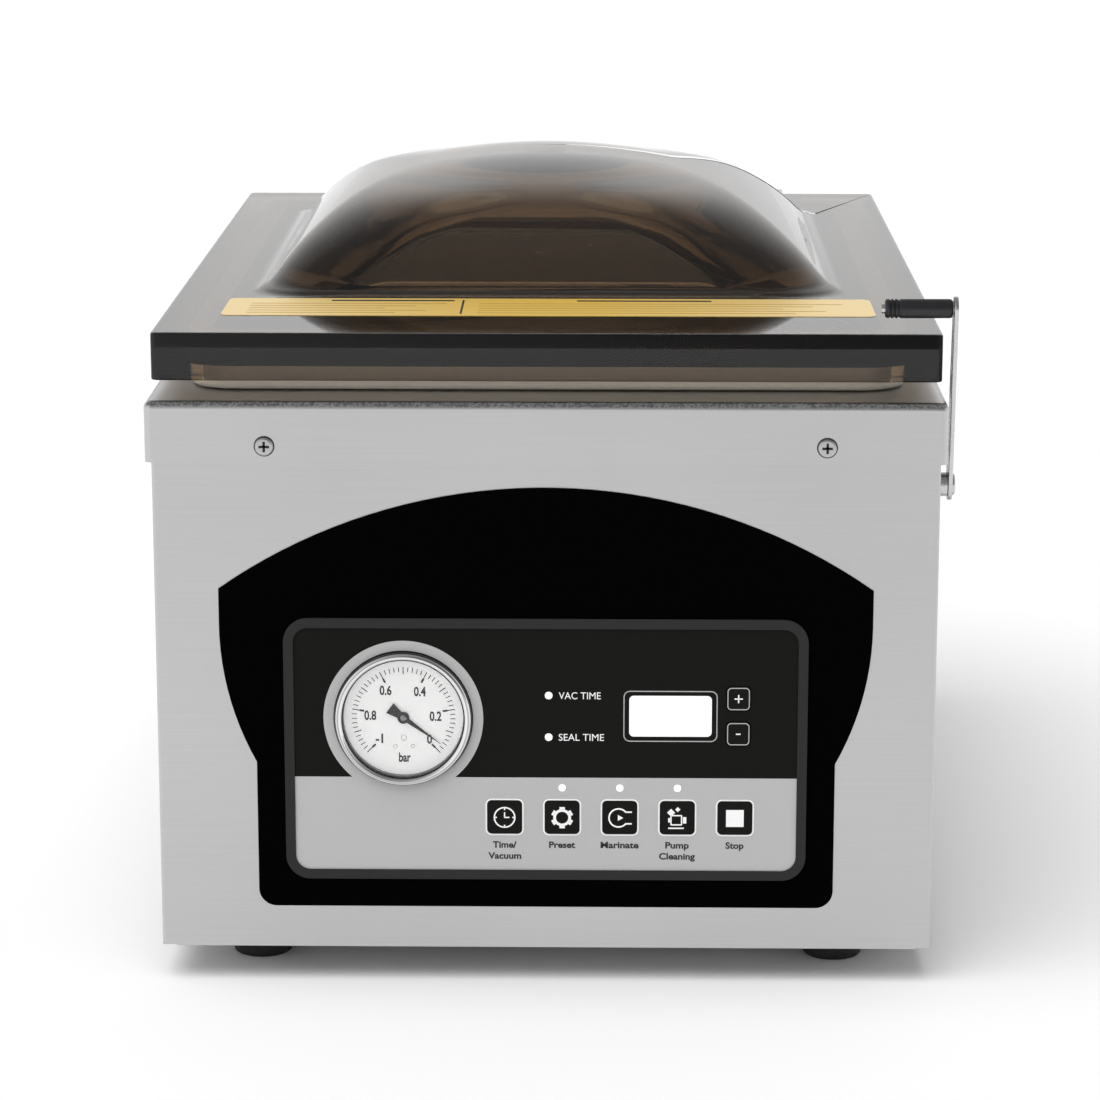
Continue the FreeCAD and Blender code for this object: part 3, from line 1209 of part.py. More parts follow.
def gauge_case():
    back = OVERLAY_FACE + GAUGE_CASE_DEPTH
    case = gauge_disc(GAUGE_CASE_RADIUS, OVERLAY_FACE, back)
    case = case.cut(gauge_disc(GAUGE_FACE_RADIUS, OVERLAY_FACE, DIAL_BACK))
    case = case.cut(gauge_disc(GAUGE_FACE_RADIUS - MECHANISM_STEP, DIAL_BACK, DIAL_BACK + MECHANISM_DEPTH))
    bore = SPINDLE_RADIUS + RUNNING_CLEARANCE
    case = case.cut(gauge_disc(bore, DIAL_BACK, DIAL_BACK + SPINDLE_BORE_DEPTH))
    stem = gauge_disc(GAUGE_STEM_RADIUS, back, back + GAUGE_STEM_LENGTH)
    return fused((case, stem))


def gauge_dial():
    front = DIAL_BACK - DIAL_THICKNESS
    dial = gauge_disc(GAUGE_FACE_RADIUS - GAUGE_CLEARANCE, front, DIAL_BACK)
    return dial.cut(gauge_disc(SPINDLE_RADIUS + GAUGE_BORE_CLEARANCE, front, DIAL_BACK))


def gauge_pointer():
    back = DIAL_BACK - DIAL_THICKNESS - POINTER_GAP
    front = back - POINTER_THICKNESS
    waist, tail = POINTER_HALF_WIDTH, POINTER_TAIL_HALF_WIDTH
    corners = ((POINTER_LENGTH, 0), (0, waist), (-POINTER_TAIL, tail), (-POINTER_TAIL, -tail), (0, -waist),
               (POINTER_LENGTH, 0))
    outline = [Vec(x, 0, z) for x, z in corners]
    needle = Part.Face(Part.makePolygon(outline)).extrude(Vec(0, POINTER_THICKNESS, 0))
    needle.rotate(Vec(0, 0, 0), -Y_AXIS, POINTER_ANGLE)
    needle.translate(Vec(GAUGE_X, front, GAUGE_Z))
    hub = gauge_disc(POINTER_HUB_RADIUS, front - POINTER_HUB_PROUD, back + POINTER_HUB_BACK)
    spindle = gauge_disc(SPINDLE_RADIUS, back, DIAL_BACK + SPINDLE_DEPTH)
    return fused((needle, hub, spindle))


# ---------------------------------------------------------------- rear fittings
def inlet_module_barrel(clearance, y0, y1):
    """The part of the inlet module that passes through the rear cover."""
    width = INLET_WIDTH + 2 * clearance
    high, low = ROCKER_Z + ROCKER_HEIGHT / 2 + INLET_WALL, INLET_Z - INLET_HEIGHT / 2
    x0, x1 = INLET_X - width / 2, INLET_X + width / 2
    return upright_plate(x0, x1, low - clearance, high + clearance, INLET_CORNER, y0, y1)


def power_inlet():
    """Inlet module: a flange outside the cover, the three-pin mains inlet and the rocker switch's well."""
    face = COVER_FACE + REAR_FITTINGS
    back = COVER_FACE - INLET_DEPTH
    flange = inlet_module_barrel(INLET_FLANGE, COVER_FACE, face)
    module = fused((flange, inlet_module_barrel(0.0, back, COVER_FACE)))
    floor = back + INLET_WALL
    width, height = INLET_WIDTH - 2 * INLET_WALL, INLET_HEIGHT - 2 * INLET_WALL
    module = module.cut(upright_pad(INLET_X, INLET_Z, width, height, INLET_MOUTH_CORNER, floor, face))
    well = upright_pad(INLET_X, ROCKER_Z, ROCKER_WIDTH, ROCKER_HEIGHT, ROCKER_WELL_CORNER, floor, face)
    module = module.cut(well)
    blades = []
    for dx, dz in ((-BLADE_SPREAD, -BLADE_DROP), (0, BLADE_DROP), (BLADE_SPREAD, -BLADE_DROP)):
        x, z = INLET_X + dx, INLET_Z + dz
        blades.append(box(x - BLADE_HALF_WIDTH, x + BLADE_HALF_WIDTH, floor, face - BLADE_RECESS,
                          z - BLADE_HALF_HEIGHT, z + BLADE_HALF_HEIGHT))
    return fused([module] + blades)


def power_rocker():
    """Rocker that tips left and right about an upright pivot."""
    half = ROCKER_WIDTH / 2 - ROCKER_END_CLEARANCE
    half_z = ROCKER_HEIGHT / 2 - ROCKER_SIDE_CLEARANCE
    front = COVER_FACE + REAR_FITTINGS - ROCKER_SINK
    back = ROCKER_PIVOT_Y - ROCKER_BACK
    foot = half - ROCKER_TAPER
    corners = ((-half, front), (0, front - ROCKER_DISH), (half, front), (foot, back), (-foot, back),
               (-half, front))
    outline = [Vec(INLET_X + x, y, ROCKER_Z - half_z) for x, y in corners]
    rocker = Part.Face(Part.makePolygon(outline)).extrude(Vec(0, 0, 2 * half_z))
    rocker.rotate(Vec(INLET_X, ROCKER_PIVOT_Y, 0), Z_AXIS, -ROCKER_TILT)
    return rocker


# ---------------------------------------------------------------- vacuum pump and electrics
def vacuum_pump():
    half = PUMP_WIDTH / 2
    rear = PUMP_FRONT_Y + PUMP_LENGTH
    body = box(PUMP_X - half, PUMP_X + half, PUMP_FRONT_Y, rear, PUMP_BOTTOM, PUMP_TOP)
    body = body.makeFillet(PUMP_CORNER, edges_along(body, Y_AXIS))
    pitch = PUMP_LENGTH / (PUMP_FINS + 1)
    for step in range(PUMP_FINS):
        y = PUMP_FRONT_Y + pitch * (step + PUMP_FIN_START)
        for side in (-1, 1):
            x0, x1 = sorted((PUMP_X + side * half, PUMP_X + side * (half - PUMP_FIN_DEPTH)))
            low, high = PUMP_BOTTOM + PUMP_FIN_LOW, PUMP_TOP - PUMP_FIN_HIGH
            body = body.cut(box(x0, x1, y, y + pitch * PUMP_FIN_GAP, low, high))
    port_y = rear - PORT_SETBACK
    boss = rod(PORT_RADIUS, (PUMP_X, port_y, PUMP_TOP - PORT_SEAT), (PUMP_X, port_y, HOSE_Z + PORT_RADIUS))
    nozzle = rod(HOSE_RADIUS - HOSE_WALL, (PUMP_X, port_y, HOSE_Z), (PUMP_X, rear, HOSE_Z))
    nozzle = nozzle.fuse(rod(HOSE_RADIUS, (PUMP_X, port_y, HOSE_Z), (PUMP_X, rear - HOSE_OVERLAP, HOSE_Z)))
    return fused((body, boss, nozzle))


def pump_motor():
    """Motor can with a fan shroud at its rear."""
    can = rod(MOTOR_RADIUS, (PUMP_X, MOTOR_FRONT_Y, PUMP_Z), (PUMP_X, MOTOR_REAR_Y, PUMP_Z))
    shroud_rear = MOTOR_REAR_Y + SHROUD_LENGTH
    shroud = tube(MOTOR_RADIUS, MOTOR_RADIUS - SHROUD_WALL,
                  (PUMP_X, MOTOR_REAR_Y, PUMP_Z), (PUMP_X, shroud_rear, PUMP_Z))
    motor = fused((can, shroud))
    bore = SHAFT_RADIUS + RUNNING_CLEARANCE
    start = (PUMP_X, MOTOR_REAR_Y - MOTOR_BORE_DEPTH, PUMP_Z)
    return cut_round(motor, bore, start, (PUMP_X, MOTOR_REAR_Y, PUMP_Z))


def pump_fan():
    start = MOTOR_REAR_Y + FAN_GAP
    end = start + FAN_DEPTH
    hub = rod(FAN_HUB_RADIUS, (PUMP_X, start, PUMP_Z), (PUMP_X, end, PUMP_Z))
    shaft = rod(SHAFT_RADIUS, (PUMP_X, MOTOR_REAR_Y - SHAFT_SEAT, PUMP_Z), (PUMP_X, end, PUMP_Z))
    vanes = []
    for blade in range(FAN_BLADES):
        vane = box(FAN_HUB_RADIUS - FAN_BLADE_SEAT, FAN_RADIUS, -FAN_BLADE_HALF, FAN_BLADE_HALF,
                   FAN_BLADE_HALF, FAN_DEPTH - FAN_BLADE_HALF)
        vane.rotate(Vec(0, 0, FAN_DEPTH / 2), X_AXIS, FAN_BLADE_PITCH)
        vane.rotate(Vec(0, 0, 0), Z_AXIS, 360.0 * blade / FAN_BLADES)
        vane.rotate(Vec(0, 0, 0), X_AXIS, -90)
        vane.translate(Vec(PUMP_X, start, PUMP_Z))
        vanes.append(vane)
    return fused([hub, shaft] + vanes)


def pump_mounts():
    half = PUMP_WIDTH / 2 - MOUNT_INSET
    xs = (PUMP_X - half, PUMP_X + half)
    ys = (PUMP_FRONT_Y + MOUNT_INSET, PUMP_FRONT_Y + PUMP_LENGTH - MOUNT_INSET)
    return group(rod(MOUNT_RADIUS, (x, y, BASE_TOP), (x, y, PUMP_BOTTOM)) for x in xs for y in ys)


def solenoid_valve():
    half = VALVE_WIDTH / 2
    x0, x1 = SUCTION_X - half, SUCTION_X + half
    block = box(x0, x1, SUCTION_Y - half, SUCTION_Y + half, HOSE_Z - VALVE_BELOW_HOSE, VALVE_TOP)
    coil = rod(COIL_RADIUS, (x1, SUCTION_Y, HOSE_Z), (x1 + COIL_LENGTH, SUCTION_Y, HOSE_Z))
    nozzle = rod(HOSE_RADIUS - HOSE_WALL, (x0 - VALVE_NOZZLE, SUCTION_Y, HOSE_Z), (x0, SUCTION_Y, HOSE_Z))
    return fused((block, coil, nozzle))


def suction_hose():
    """Hose from the valve's nozzle, round one wide bend, to the pump's nozzle."""
    start = Vec(SUCTION_X - VALVE_WIDTH / 2, SUCTION_Y, HOSE_Z)
    corner = Vec(PUMP_X, SUCTION_Y, HOSE_Z)
    end = Vec(PUMP_X, PUMP_FRONT_Y + PUMP_LENGTH - HOSE_OVERLAP, HOSE_Z)
    bend_start = corner + Vec(HOSE_BEND, 0, 0)
    bend_end = corner - Vec(0, HOSE_BEND, 0)
    lean = HOSE_BEND * (1 - math.sqrt(0.5))
    bend_middle = corner + Vec(lean, -lean, 0)
    bend = Part.Arc(bend_start, bend_middle, bend_end).toShape()
    path = Part.Wire([Part.makeLine(start, bend_start), bend, Part.makeLine(bend_end, end)])
    skins = []
    for radius in (HOSE_RADIUS, HOSE_RADIUS - HOSE_WALL + HOSE_PLAY):
        section = Part.Wire([Part.Circle(start, Vec(-1, 0, 0), radius).toShape()])
        skins.append(path.makePipeShell([section], True, False))
    return skins[0].cut(skins[1])


def exhaust_filter():
    pump_side = PUMP_X - PUMP_WIDTH / 2
    x = pump_side - FILTER_GAP
    y = PUMP_FRONT_Y + PUMP_LENGTH / 2
    can = rod(FILTER_RADIUS, (x, y, PUMP_BOTTOM), (x, y, PUMP_TOP))
    can = can.makeFillet(FILTER_EDGE, edges_at_height(can, PUMP_TOP))
    pipe_z = PUMP_Z + FILTER_PIPE_RISE
    pipe = rod(FILTER_PIPE_RADIUS, (x, y, pipe_z), (pump_side, y, pipe_z))
    half = FILTER_STAND_HALF
    stand = box(x - half, x + half, y - half, y + half, BASE_TOP, PUMP_BOTTOM)
    return fused((can, pipe, stand))


def seal_transformer():
    """Laminated core with two windows, and the winding that fills them round the middle limb."""
    x, y = TRANSFORMER_X, TRANSFORMER_Y
    half, half_depth = TRANSFORMER_WIDTH / 2, TRANSFORMER_DEPTH / 2
    top = BASE_TOP + TRANSFORMER_HEIGHT
    limb = TRANSFORMER_LIMB
    core = box(x - half, x + half, y - half_depth, y + half_depth, BASE_TOP, top)
    for x0, x1 in ((x - half + limb, x - limb), (x + limb, x + half - limb)):
        core = core.cut(box(x0, x1, y - half_depth, y + half_depth, BASE_TOP + limb, top - limb))
    outer = half - limb - WINDING_CLEARANCE
    bulge = half_depth + TRANSFORMER_BULGE
    low, high = BASE_TOP + limb + WINDING_CLEARANCE, top - limb - WINDING_CLEARANCE
    winding = box(x - outer, x + outer, y - bulge, y + bulge, low, high)
    inner = limb + WINDING_CLEARANCE
    inner_depth = half_depth + WINDING_CLEARANCE
    winding = winding.cut(box(x - inner, x + inner, y - inner_depth, y + inner_depth, low, high))
    return group((core, winding))


def motor_capacitor():
    x, y = CAPACITOR_X, CAPACITOR_Y
    top = BASE_TOP + CAPACITOR_HEIGHT
    can = rod(CAPACITOR_RADIUS, (x, y, BASE_TOP), (x, y, top))
    can = can.makeFillet(CAPACITOR_EDGE, edges_at_height(can, top))
    lugs = []
    for lug_x in (x - LUG_SPREAD, x + LUG_SPREAD):
        lugs.append(box(lug_x - LUG_HALF_WIDTH, lug_x + LUG_HALF_WIDTH, y - LUG_HALF_THICKNESS,
                        y + LUG_HALF_THICKNESS, top, top + LUG_LENGTH))
    return fused([can] + lugs)


# ---------------------------------------------------------------- all nodes
def all_nodes():
    nodes = {
        "cabinet_wrap": cabinet_wrap(),
        "top_deck": top_deck(),
        "chamber_tub": chamber_tub(),
        "base_pan": base_pan(),
        "rear_cover": rear_cover(),
        "deck_screws": deck_screws(),
        "rear_cover_screws": rear_cover_screws(),
        "rubber_feet": rubber_feet(),
        "foot_screws": foot_screws(),
        "suction_strainer": suction_strainer(),
        "lid_shell": lid_shell(),
        "lid_seal": lid_seal(),
        "lid_label": lid_label(),
        "counter_bar_holder": counter_bar_holder(),
        "counter_bar_silicone": counter_bar_silicone(),
        "lid_hinge_leaves": lid_hinge_leaves(),
        "lid_hinge_screws": lid_hinge_screws(),
        "hinge_brackets": hinge_brackets(),
        "hinge_pins": hinge_pins(),
        "hinge_springs": hinge_springs(),
        "latch_lever": latch_lever(),
        "latch_pin": latch_pin(),
        "latch_grip": latch_grip(),
        "latch_pivot_bolt": latch_pivot_bolt(),
        "seal_bar": seal_bar(),
        "heating_element": heating_element(),
        "ptfe_tape": ptfe_tape(),
        "lift_rods": lift_rods(),
        "lift_cylinders": lift_cylinders(),
        "panel_overlay": panel_overlay(),
        "panel_bezel": panel_bezel(),
        "panel_upper_field": panel_field(False),
        "panel_lower_field": panel_field(True),
        "panel_carrier": panel_carrier(),
        "display_lens": display_lens(),
        "indicator_leds": indicator_leds(),
        "control_board": control_board(),
        "key_plus": step_key(0),
        "key_minus": step_key(1),
        "gauge_bezel": gauge_bezel(),
        "gauge_glass": gauge_glass(),
        "gauge_case": gauge_case(),
        "gauge_dial": gauge_dial(),
        "gauge_pointer": gauge_pointer(),
        "power_inlet": power_inlet(),
        "power_rocker": power_rocker(),
        "vacuum_pump": vacuum_pump(),
        "pump_motor": pump_motor(),
        "pump_fan": pump_fan(),
        "pump_mounts": pump_mounts(),
        "solenoid_valve": solenoid_valve(),
        "suction_hose": suction_hose(),
        "exhaust_filter": exhaust_filter(),
        "seal_transformer": seal_transformer(),
        "motor_capacitor": motor_capacitor(),
    }
    for index, name in enumerate(KEY_NAMES):
        nodes[name] = function_key(index)
    return nodes


os.makedirs("parts", exist_ok=True)
for name, shape in all_nodes().items():
    shape.exportStep(f"parts/{name}.step")
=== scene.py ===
import math

import bmesh
import bpy
from mathutils import Matrix, Vector


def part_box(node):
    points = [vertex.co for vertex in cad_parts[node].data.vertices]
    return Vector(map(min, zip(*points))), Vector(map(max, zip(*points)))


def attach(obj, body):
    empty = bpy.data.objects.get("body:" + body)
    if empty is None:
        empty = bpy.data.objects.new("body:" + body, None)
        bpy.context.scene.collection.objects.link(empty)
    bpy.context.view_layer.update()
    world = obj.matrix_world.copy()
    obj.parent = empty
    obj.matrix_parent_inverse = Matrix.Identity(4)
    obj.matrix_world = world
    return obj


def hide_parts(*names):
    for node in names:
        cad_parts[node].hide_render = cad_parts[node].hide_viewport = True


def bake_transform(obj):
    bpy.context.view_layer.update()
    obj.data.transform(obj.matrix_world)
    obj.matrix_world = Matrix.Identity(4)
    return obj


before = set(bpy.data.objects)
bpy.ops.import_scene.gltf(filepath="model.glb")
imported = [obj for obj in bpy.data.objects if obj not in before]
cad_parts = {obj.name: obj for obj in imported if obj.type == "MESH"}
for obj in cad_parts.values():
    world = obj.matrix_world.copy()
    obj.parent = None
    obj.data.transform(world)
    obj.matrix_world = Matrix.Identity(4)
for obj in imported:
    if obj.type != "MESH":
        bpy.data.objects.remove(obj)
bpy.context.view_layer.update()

# Tabletop vacuum chamber sealer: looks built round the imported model.
# Lengths below are millimetres and are turned to metres when a piece is made.
MM = 0.001

# ------------------------------------------------------------------ places
LID_BOTTOM = 256.5
LID_TOP = 276.5
LID_HALF = (163.0, 219.0)
LID_CENTRE_Y = -9.0
DOME_HALF = (126.5, 140.5)
DOME_CENTRE_Y = 9.0
FIELD_FACE = -238.6
KEY_FACE = -239.2
KEY_ROW_Z = 72.8
KEY_XS = (-17.2, 6.95, 31.1, 55.25, 79.4)
STEP_KEY_X = 80.4
PLUS_Z = 124.7
MINUS_Z = 109.5
GAUGE = (-59.4, 115.6)
DIAL_FACE = -236.4
HINGE_X = 101.0            # each lid hinge from the middle
HINGE_Y, HINGE_Z = 224.0, 258.0
INK = 0.05                 # thickness of printed ink
WELD = 0.002               # points closer than this are one point


# ------------------------------------------------------------------ making pieces
def select_only(piece):
    bpy.ops.object.select_all(action="DESELECT")
    piece.select_set(True)
    bpy.context.view_layer.objects.active = piece


def named(name):
    piece = bpy.context.object
    piece.name = name
    piece.data.name = name
    bpy.ops.object.transform_apply(location=True, rotation=True, scale=True)
    return piece


def metres(point):
    return Vector(point) * MM


def start_edit(piece, kind):
    select_only(piece)
    bpy.ops.object.mode_set(mode="EDIT")
    bpy.ops.mesh.select_mode(type=kind)
    bpy.ops.mesh.select_all(action="DESELECT")


def end_edit():
    bpy.ops.object.mode_set(mode="OBJECT")


def pick_faces(piece, wanted):
    """Selects the faces whose middle and normal pass the test, in millimetres."""
    mesh = bmesh.from_edit_mesh(piece.data)
    for face in mesh.faces:
        face.select_set(bool(wanted(face.calc_center_median() / MM, face.normal)))
    bmesh.update_edit_mesh(piece.data)


def pick_edges(piece, wanted):
    """Selects the edges whose middle and direction pass the test, in millimetres."""
    mesh = bmesh.from_edit_mesh(piece.data)
    for edge in mesh.edges:
        one, two = (vertex.co / MM for vertex in edge.verts)
        edge.select_set(bool(wanted((one + two) / 2, (two - one).normalized())))
    bmesh.update_edit_mesh(piece.data)


def eased(piece, width, segments=2, angle=35):
    """Takes the sharpness off a piece's edges."""
    modifier = piece.modifiers.new("ease", "BEVEL")
    modifier.width = width * MM
    modifier.segments = segments
    modifier.limit_method = "ANGLE"
    modifier.angle_limit = math.radians(angle)
    select_only(piece)
    bpy.ops.object.modifier_apply(modifier=modifier.name)
    return piece


def smoothed(piece, angle=35):
    select_only(piece)
    bpy.ops.object.shade_smooth_by_angle(angle=math.radians(angle))
    return piece


def joined(name, pieces):
    bpy.ops.object.select_all(action="DESELECT")
    for piece in pieces:
        piece.select_set(True)
    bpy.context.view_layer.objects.active = pieces[0]
    bpy.ops.object.join()
    return named(name)


def turned(name, section, centre, axis="Y", steps=96):
    """Spins a closed section of (radius, depth) points round an axis through the centre."""
    across, along = {"Y": (Vector((1, 0, 0)), Vector((0, 1, 0))),
                     "X": (Vector((0, 0, 1)), Vector((1, 0, 0)))}[axis]
    points = [metres(centre) + (across * radius + along * depth) * MM for radius, depth in section]
    bpy.ops.object.select_all(action="DESELECT")
    bpy.ops.mesh.primitive_plane_add(size=MM, location=points[0])
    piece = named(name)
    start_edit(piece, "VERT")
    bpy.ops.mesh.select_all(action="SELECT")
    bpy.ops.mesh.merge(type="CENTER")
    for before, after in zip(points, points[1:] + points[:1]):
        bpy.ops.mesh.extrude_region_move(TRANSFORM_OT_translate={"value": after - before})
    bpy.ops.mesh.select_all(action="SELECT")
    bpy.ops.mesh.spin(steps=steps, angle=math.tau, center=metres(centre), axis=along)
    bpy.ops.mesh.select_all(action="SELECT")
    bpy.ops.mesh.remove_doubles(threshold=WELD * MM)
    bpy.ops.mesh.normals_make_consistent(inside=False)
    end_edit()
    return smoothed(piece)


def drawn_through(name, rings):
    """Draws one loop of points through all the rings by extrusion, and fills both ends."""
    bpy.ops.object.select_all(action="DESELECT")
    bpy.ops.mesh.primitive_circle_add(vertices=len(rings[0]), radius=1)
    piece = named(name)
    for vertex, point in zip(piece.data.vertices, rings[0]):
        vertex.co = point
    start_edit(piece, "EDGE")
    bpy.ops.mesh.select_all(action="SELECT")
    bpy.ops.mesh.edge_face_add()
    for ring in rings[1:]:
        bpy.ops.mesh.extrude_region_move()
        mesh = bmesh.from_edit_mesh(piece.data)
        fresh = [vertex for vertex in mesh.verts if vertex.select]
        for vertex, point in zip(fresh, ring):
            vertex.co = point
        bmesh.update_edit_mesh(piece.data)
    bpy.ops.mesh.select_all(action="SELECT")
    bpy.ops.mesh.normals_make_consistent(inside=False)
    end_edit()
    return piece


def rounded_ring(half, centre_y, radius, z, steps=12):
    """Points round a level rectangle with round corners."""
    ring = []
    for side_x, side_y, start in ((1, 1, 0), (-1, 1, 90), (-1, -1, 180), (1, -1, 270)):
        for step in range(steps + 1):
            angle = math.radians(start + 90 * step / steps)
            x = side_x * (half[0] - radius) + radius * math.cos(angle)
            y = centre_y + side_y * (half[1] - radius) + radius * math.sin(angle)
            ring.append(metres((x, y, z)))
    return ring


def wire(name, points, radius, sides=4):
    """A bent wire through points."""
    curve = bpy.data.curves.new(name, "CURVE")
    curve.dimensions = "3D"
    curve.bevel_depth = radius * MM
    curve.bevel_resolution = sides
    curve.use_fill_caps = True
    spline = curve.splines.new("POLY")
    spline.points.add(len(points) - 1)
    for spot, point in zip(spline.points, points):
        spot.co = (*metres(point), 1)
    piece = bpy.data.objects.new(name, curve)
    bpy.context.scene.collection.objects.link(piece)
    select_only(piece)
    bpy.ops.object.convert(target="MESH")
    return smoothed(named(name), 50)


def softened(name, node, edge, angle=35):
    """A copy of a node's shape, with its edges eased and its round faces smooth."""
    piece = bpy.data.objects.new(name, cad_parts[node].data.copy())
    bpy.context.scene.collection.objects.link(piece)
    select_only(piece)
    if piece.data.has_custom_normals:
        bpy.ops.mesh.customdata_custom_splitnormals_clear()
    start_edit(piece, "VERT")
    bpy.ops.mesh.select_all(action="SELECT")
    bpy.ops.mesh.remove_doubles(threshold=WELD * MM)
    bpy.ops.mesh.dissolve_limited(angle_limit=math.radians(0.5))
    end_edit()
    if edge:
        eased(piece, edge, angle=angle)
    return smoothed(piece, angle)


# ------------------------------------------------------------------ finishes
def new_finish(name, **values):
    """A material whose even values sit on the shader's own sockets."""
    material = bpy.data.materials.new(name)
    material.use_nodes = True
    shader = material.node_tree.nodes["Principled BSDF"]
    for socket, value in values.items():
        shader.inputs[socket.replace("_", " ")].default_value = value
    return material


def add(material, kind, **settings):
    node = material.node_tree.nodes.new(kind)
    for key, value in settings.items():
        setattr(node, key, value)
    return node


def link(material, source, target):
    material.node_tree.links.new(source, target)


def noise_in(material, stretch, detail=4.0, turn=(0, 0, 0)):
    """Noise in object space, stretched per axis in features per metre."""
    place = add(material, "ShaderNodeTexCoord")
    mapping = add(material, "ShaderNodeMapping")
    mapping.inputs["Scale"].default_value = stretch
    mapping.inputs["Rotation"].default_value = turn
    noise = add(material, "ShaderNodeTexNoise")
    noise.inputs["Scale"].default_value = 1.0
    noise.inputs["Detail"].default_value = detail
    link(material, place.outputs["Object"], mapping.inputs["Vector"])
    link(material, mapping.outputs["Vector"], noise.inputs["Vector"])
    return noise.outputs["Fac"]


def ramp_between(material, factor, low, high, start=0.3, stop=0.7):
    ramp = add(material, "ShaderNodeValToRGB")
    ramp.color_ramp.elements[0].position = start
    ramp.color_ramp.elements[1].position = stop
    ramp.color_ramp.elements[0].color = (*low, 1)
    ramp.color_ramp.elements[1].color = (*high, 1)
    link(material, factor, ramp.inputs["Fac"])
    return ramp.outputs["Color"]


def rough_between(material, factor, low, high):
    spread = add(material, "ShaderNodeMapRange")
    spread.inputs["To Min"].default_value = low
    spread.inputs["To Max"].default_value = high
    link(material, factor, spread.inputs["Value"])
    return spread.outputs["Result"]


def relief(material, height, depth, strength=1.0):
    bump = add(material, "ShaderNodeBump")
    bump.inputs["Distance"].default_value = depth
    bump.inputs["Strength"].default_value = strength
    link(material, height, bump.inputs["Height"])
    shader = material.node_tree.nodes["Principled BSDF"]
    link(material, bump.outputs["Normal"], shader.inputs["Normal"])


def tinted(colour, share):
    return tuple(min(1.0, channel * share) for channel in colour)


def multiplied(material, one, two, share=1.0):
    """Multiplies two colours, by a share that may itself be a socket."""
    product = add(material, "ShaderNodeMix", data_type="RGBA", blend_type="MULTIPLY")
    if isinstance(share, float):
        product.inputs[0].default_value = share
    else:
        link(material, share, product.inputs[0])
    link(material, one, product.inputs[6])
    link(material, two, product.inputs[7])
    return product.outputs[2]


def worked_out(material, operation, one, two):
    """Works on a socket with a number or with another socket."""
    node = add(material, "ShaderNodeMath", operation=operation)
    link(material, one, node.inputs[0])
    if isinstance(two, float):
        node.inputs[1].default_value = two
    else:
        link(material, two, node.inputs[1])
    return node.outputs["Value"]


def ranged(material, source, low, high):
    """Nought up to the low value, one from the high value, and even between them."""
    spread = add(material, "ShaderNodeMapRange")
    spread.inputs["From Min"].default_value = low
    spread.inputs["From Max"].default_value = high
    link(material, source, spread.inputs["Value"])
    return spread.outputs["Result"]


def place_split(material):
    """The x, y and z of a place on the piece."""
    place = add(material, "ShaderNodeTexCoord")
    split = add(material, "ShaderNodeSeparateXYZ")
    link(material, place.outputs["Object"], split.inputs["Vector"])
    return split.outputs


def grained(name, colour, roughness, metallic=0.0, grain=900.0, depth=0.00004, spread=0.06, stretch=None,
            **values):
    """A finish with fine grain in its colour, its gloss and its surface."""
    material = new_finish(name, Metallic=metallic, **values)
    shader = material.node_tree.nodes["Principled BSDF"]
    fine = noise_in(material, stretch or (grain, grain, grain))
    link(material, ramp_between(material, fine, tinted(colour, 1 - spread), tinted(colour, 1 + spread)),
         shader.inputs["Base Color"])
    gloss = rough_between(material, fine, roughness * 0.88, roughness * 1.12)
    link(material, gloss, shader.inputs["Roughness"])
    relief(material, fine, depth)
    return material


STEEL_TONE = (0.57, 0.57, 0.572)
# How far a face points up, from 0 (upright) to 1 (level).
LEVEL_FACE = 0.8
BEND_FACE = (0.15, 0.5)
FLAT_FACE = 0.985


def brushed_sheet(name, tone, roughness, contrast, bend_speckle=False):
    """Sheet steel brushed level: lines run sideways on upright faces and across on level ones."""
    material = new_finish(name, Metallic=1.0)
    shader = material.node_tree.nodes["Principled BSDF"]
    upright = noise_in(material, (18, 18, 2600), 5.0)
    level = noise_in(material, (18, 2600, 18), 5.0)
    clouds = noise_in(material, (7, 7, 9), 2.0)
    facing = add(material, "ShaderNodeNewGeometry")
    split = add(material, "ShaderNodeSeparateXYZ")
    link(material, facing.outputs["Normal"], split.inputs["Vector"])
    is_level = worked_out(material, "GREATER_THAN", split.outputs["Z"], LEVEL_FACE)
    lines = add(material, "ShaderNodeMix", data_type="FLOAT")
    link(material, is_level, lines.inputs[0])
    link(material, upright, lines.inputs[2])
    link(material, level, lines.inputs[3])
    brushed = ramp_between(material, lines.outputs[0], tinted(tone, 1 - contrast), tinted(tone, 1 + contrast))
    stained = ramp_between(material, clouds, (0.95, 0.95, 0.95), (1.0, 1.0, 1.0))
    colour = multiplied(material, brushed, stained)
    link(material, rough_between(material, lines.outputs[0], roughness * 0.8, roughness * 1.2),
         shader.inputs["Roughness"])
    if bend_speckle:
        dots = noise_in(material, (900, 900, 900), 2.0)
        speckle = ramp_between(material, dots, (0.45, 0.45, 0.46), (1.0, 1.0, 1.0), 0.4, 0.62)
        bend = ranged(material, split.outputs["Z"], *BEND_FACE)
        not_flat = worked_out(material, "LESS_THAN", split.outputs["Z"], FLAT_FACE)
        masked = worked_out(material, "MULTIPLY", bend, not_flat)
        colour = multiplied(material, colour, speckle, masked)
    link(material, colour, shader.inputs["Base Color"])
    relief(material, lines.outputs[0], 0.00002, 0.5)
    return material


# Painted shade: a darker base colour over the dome stands in for the dark chamber seen through it.
DOME_PAINTED_SHADE = (0.42, 0.345, 0.265)
PAINTED_SHADE_MARGIN = 2.0          # how far the painted shade reaches past the dome's foot
SMOKE = (0.533, 0.433, 0.30, 1)
SMOKE_DENSITY = 120.0


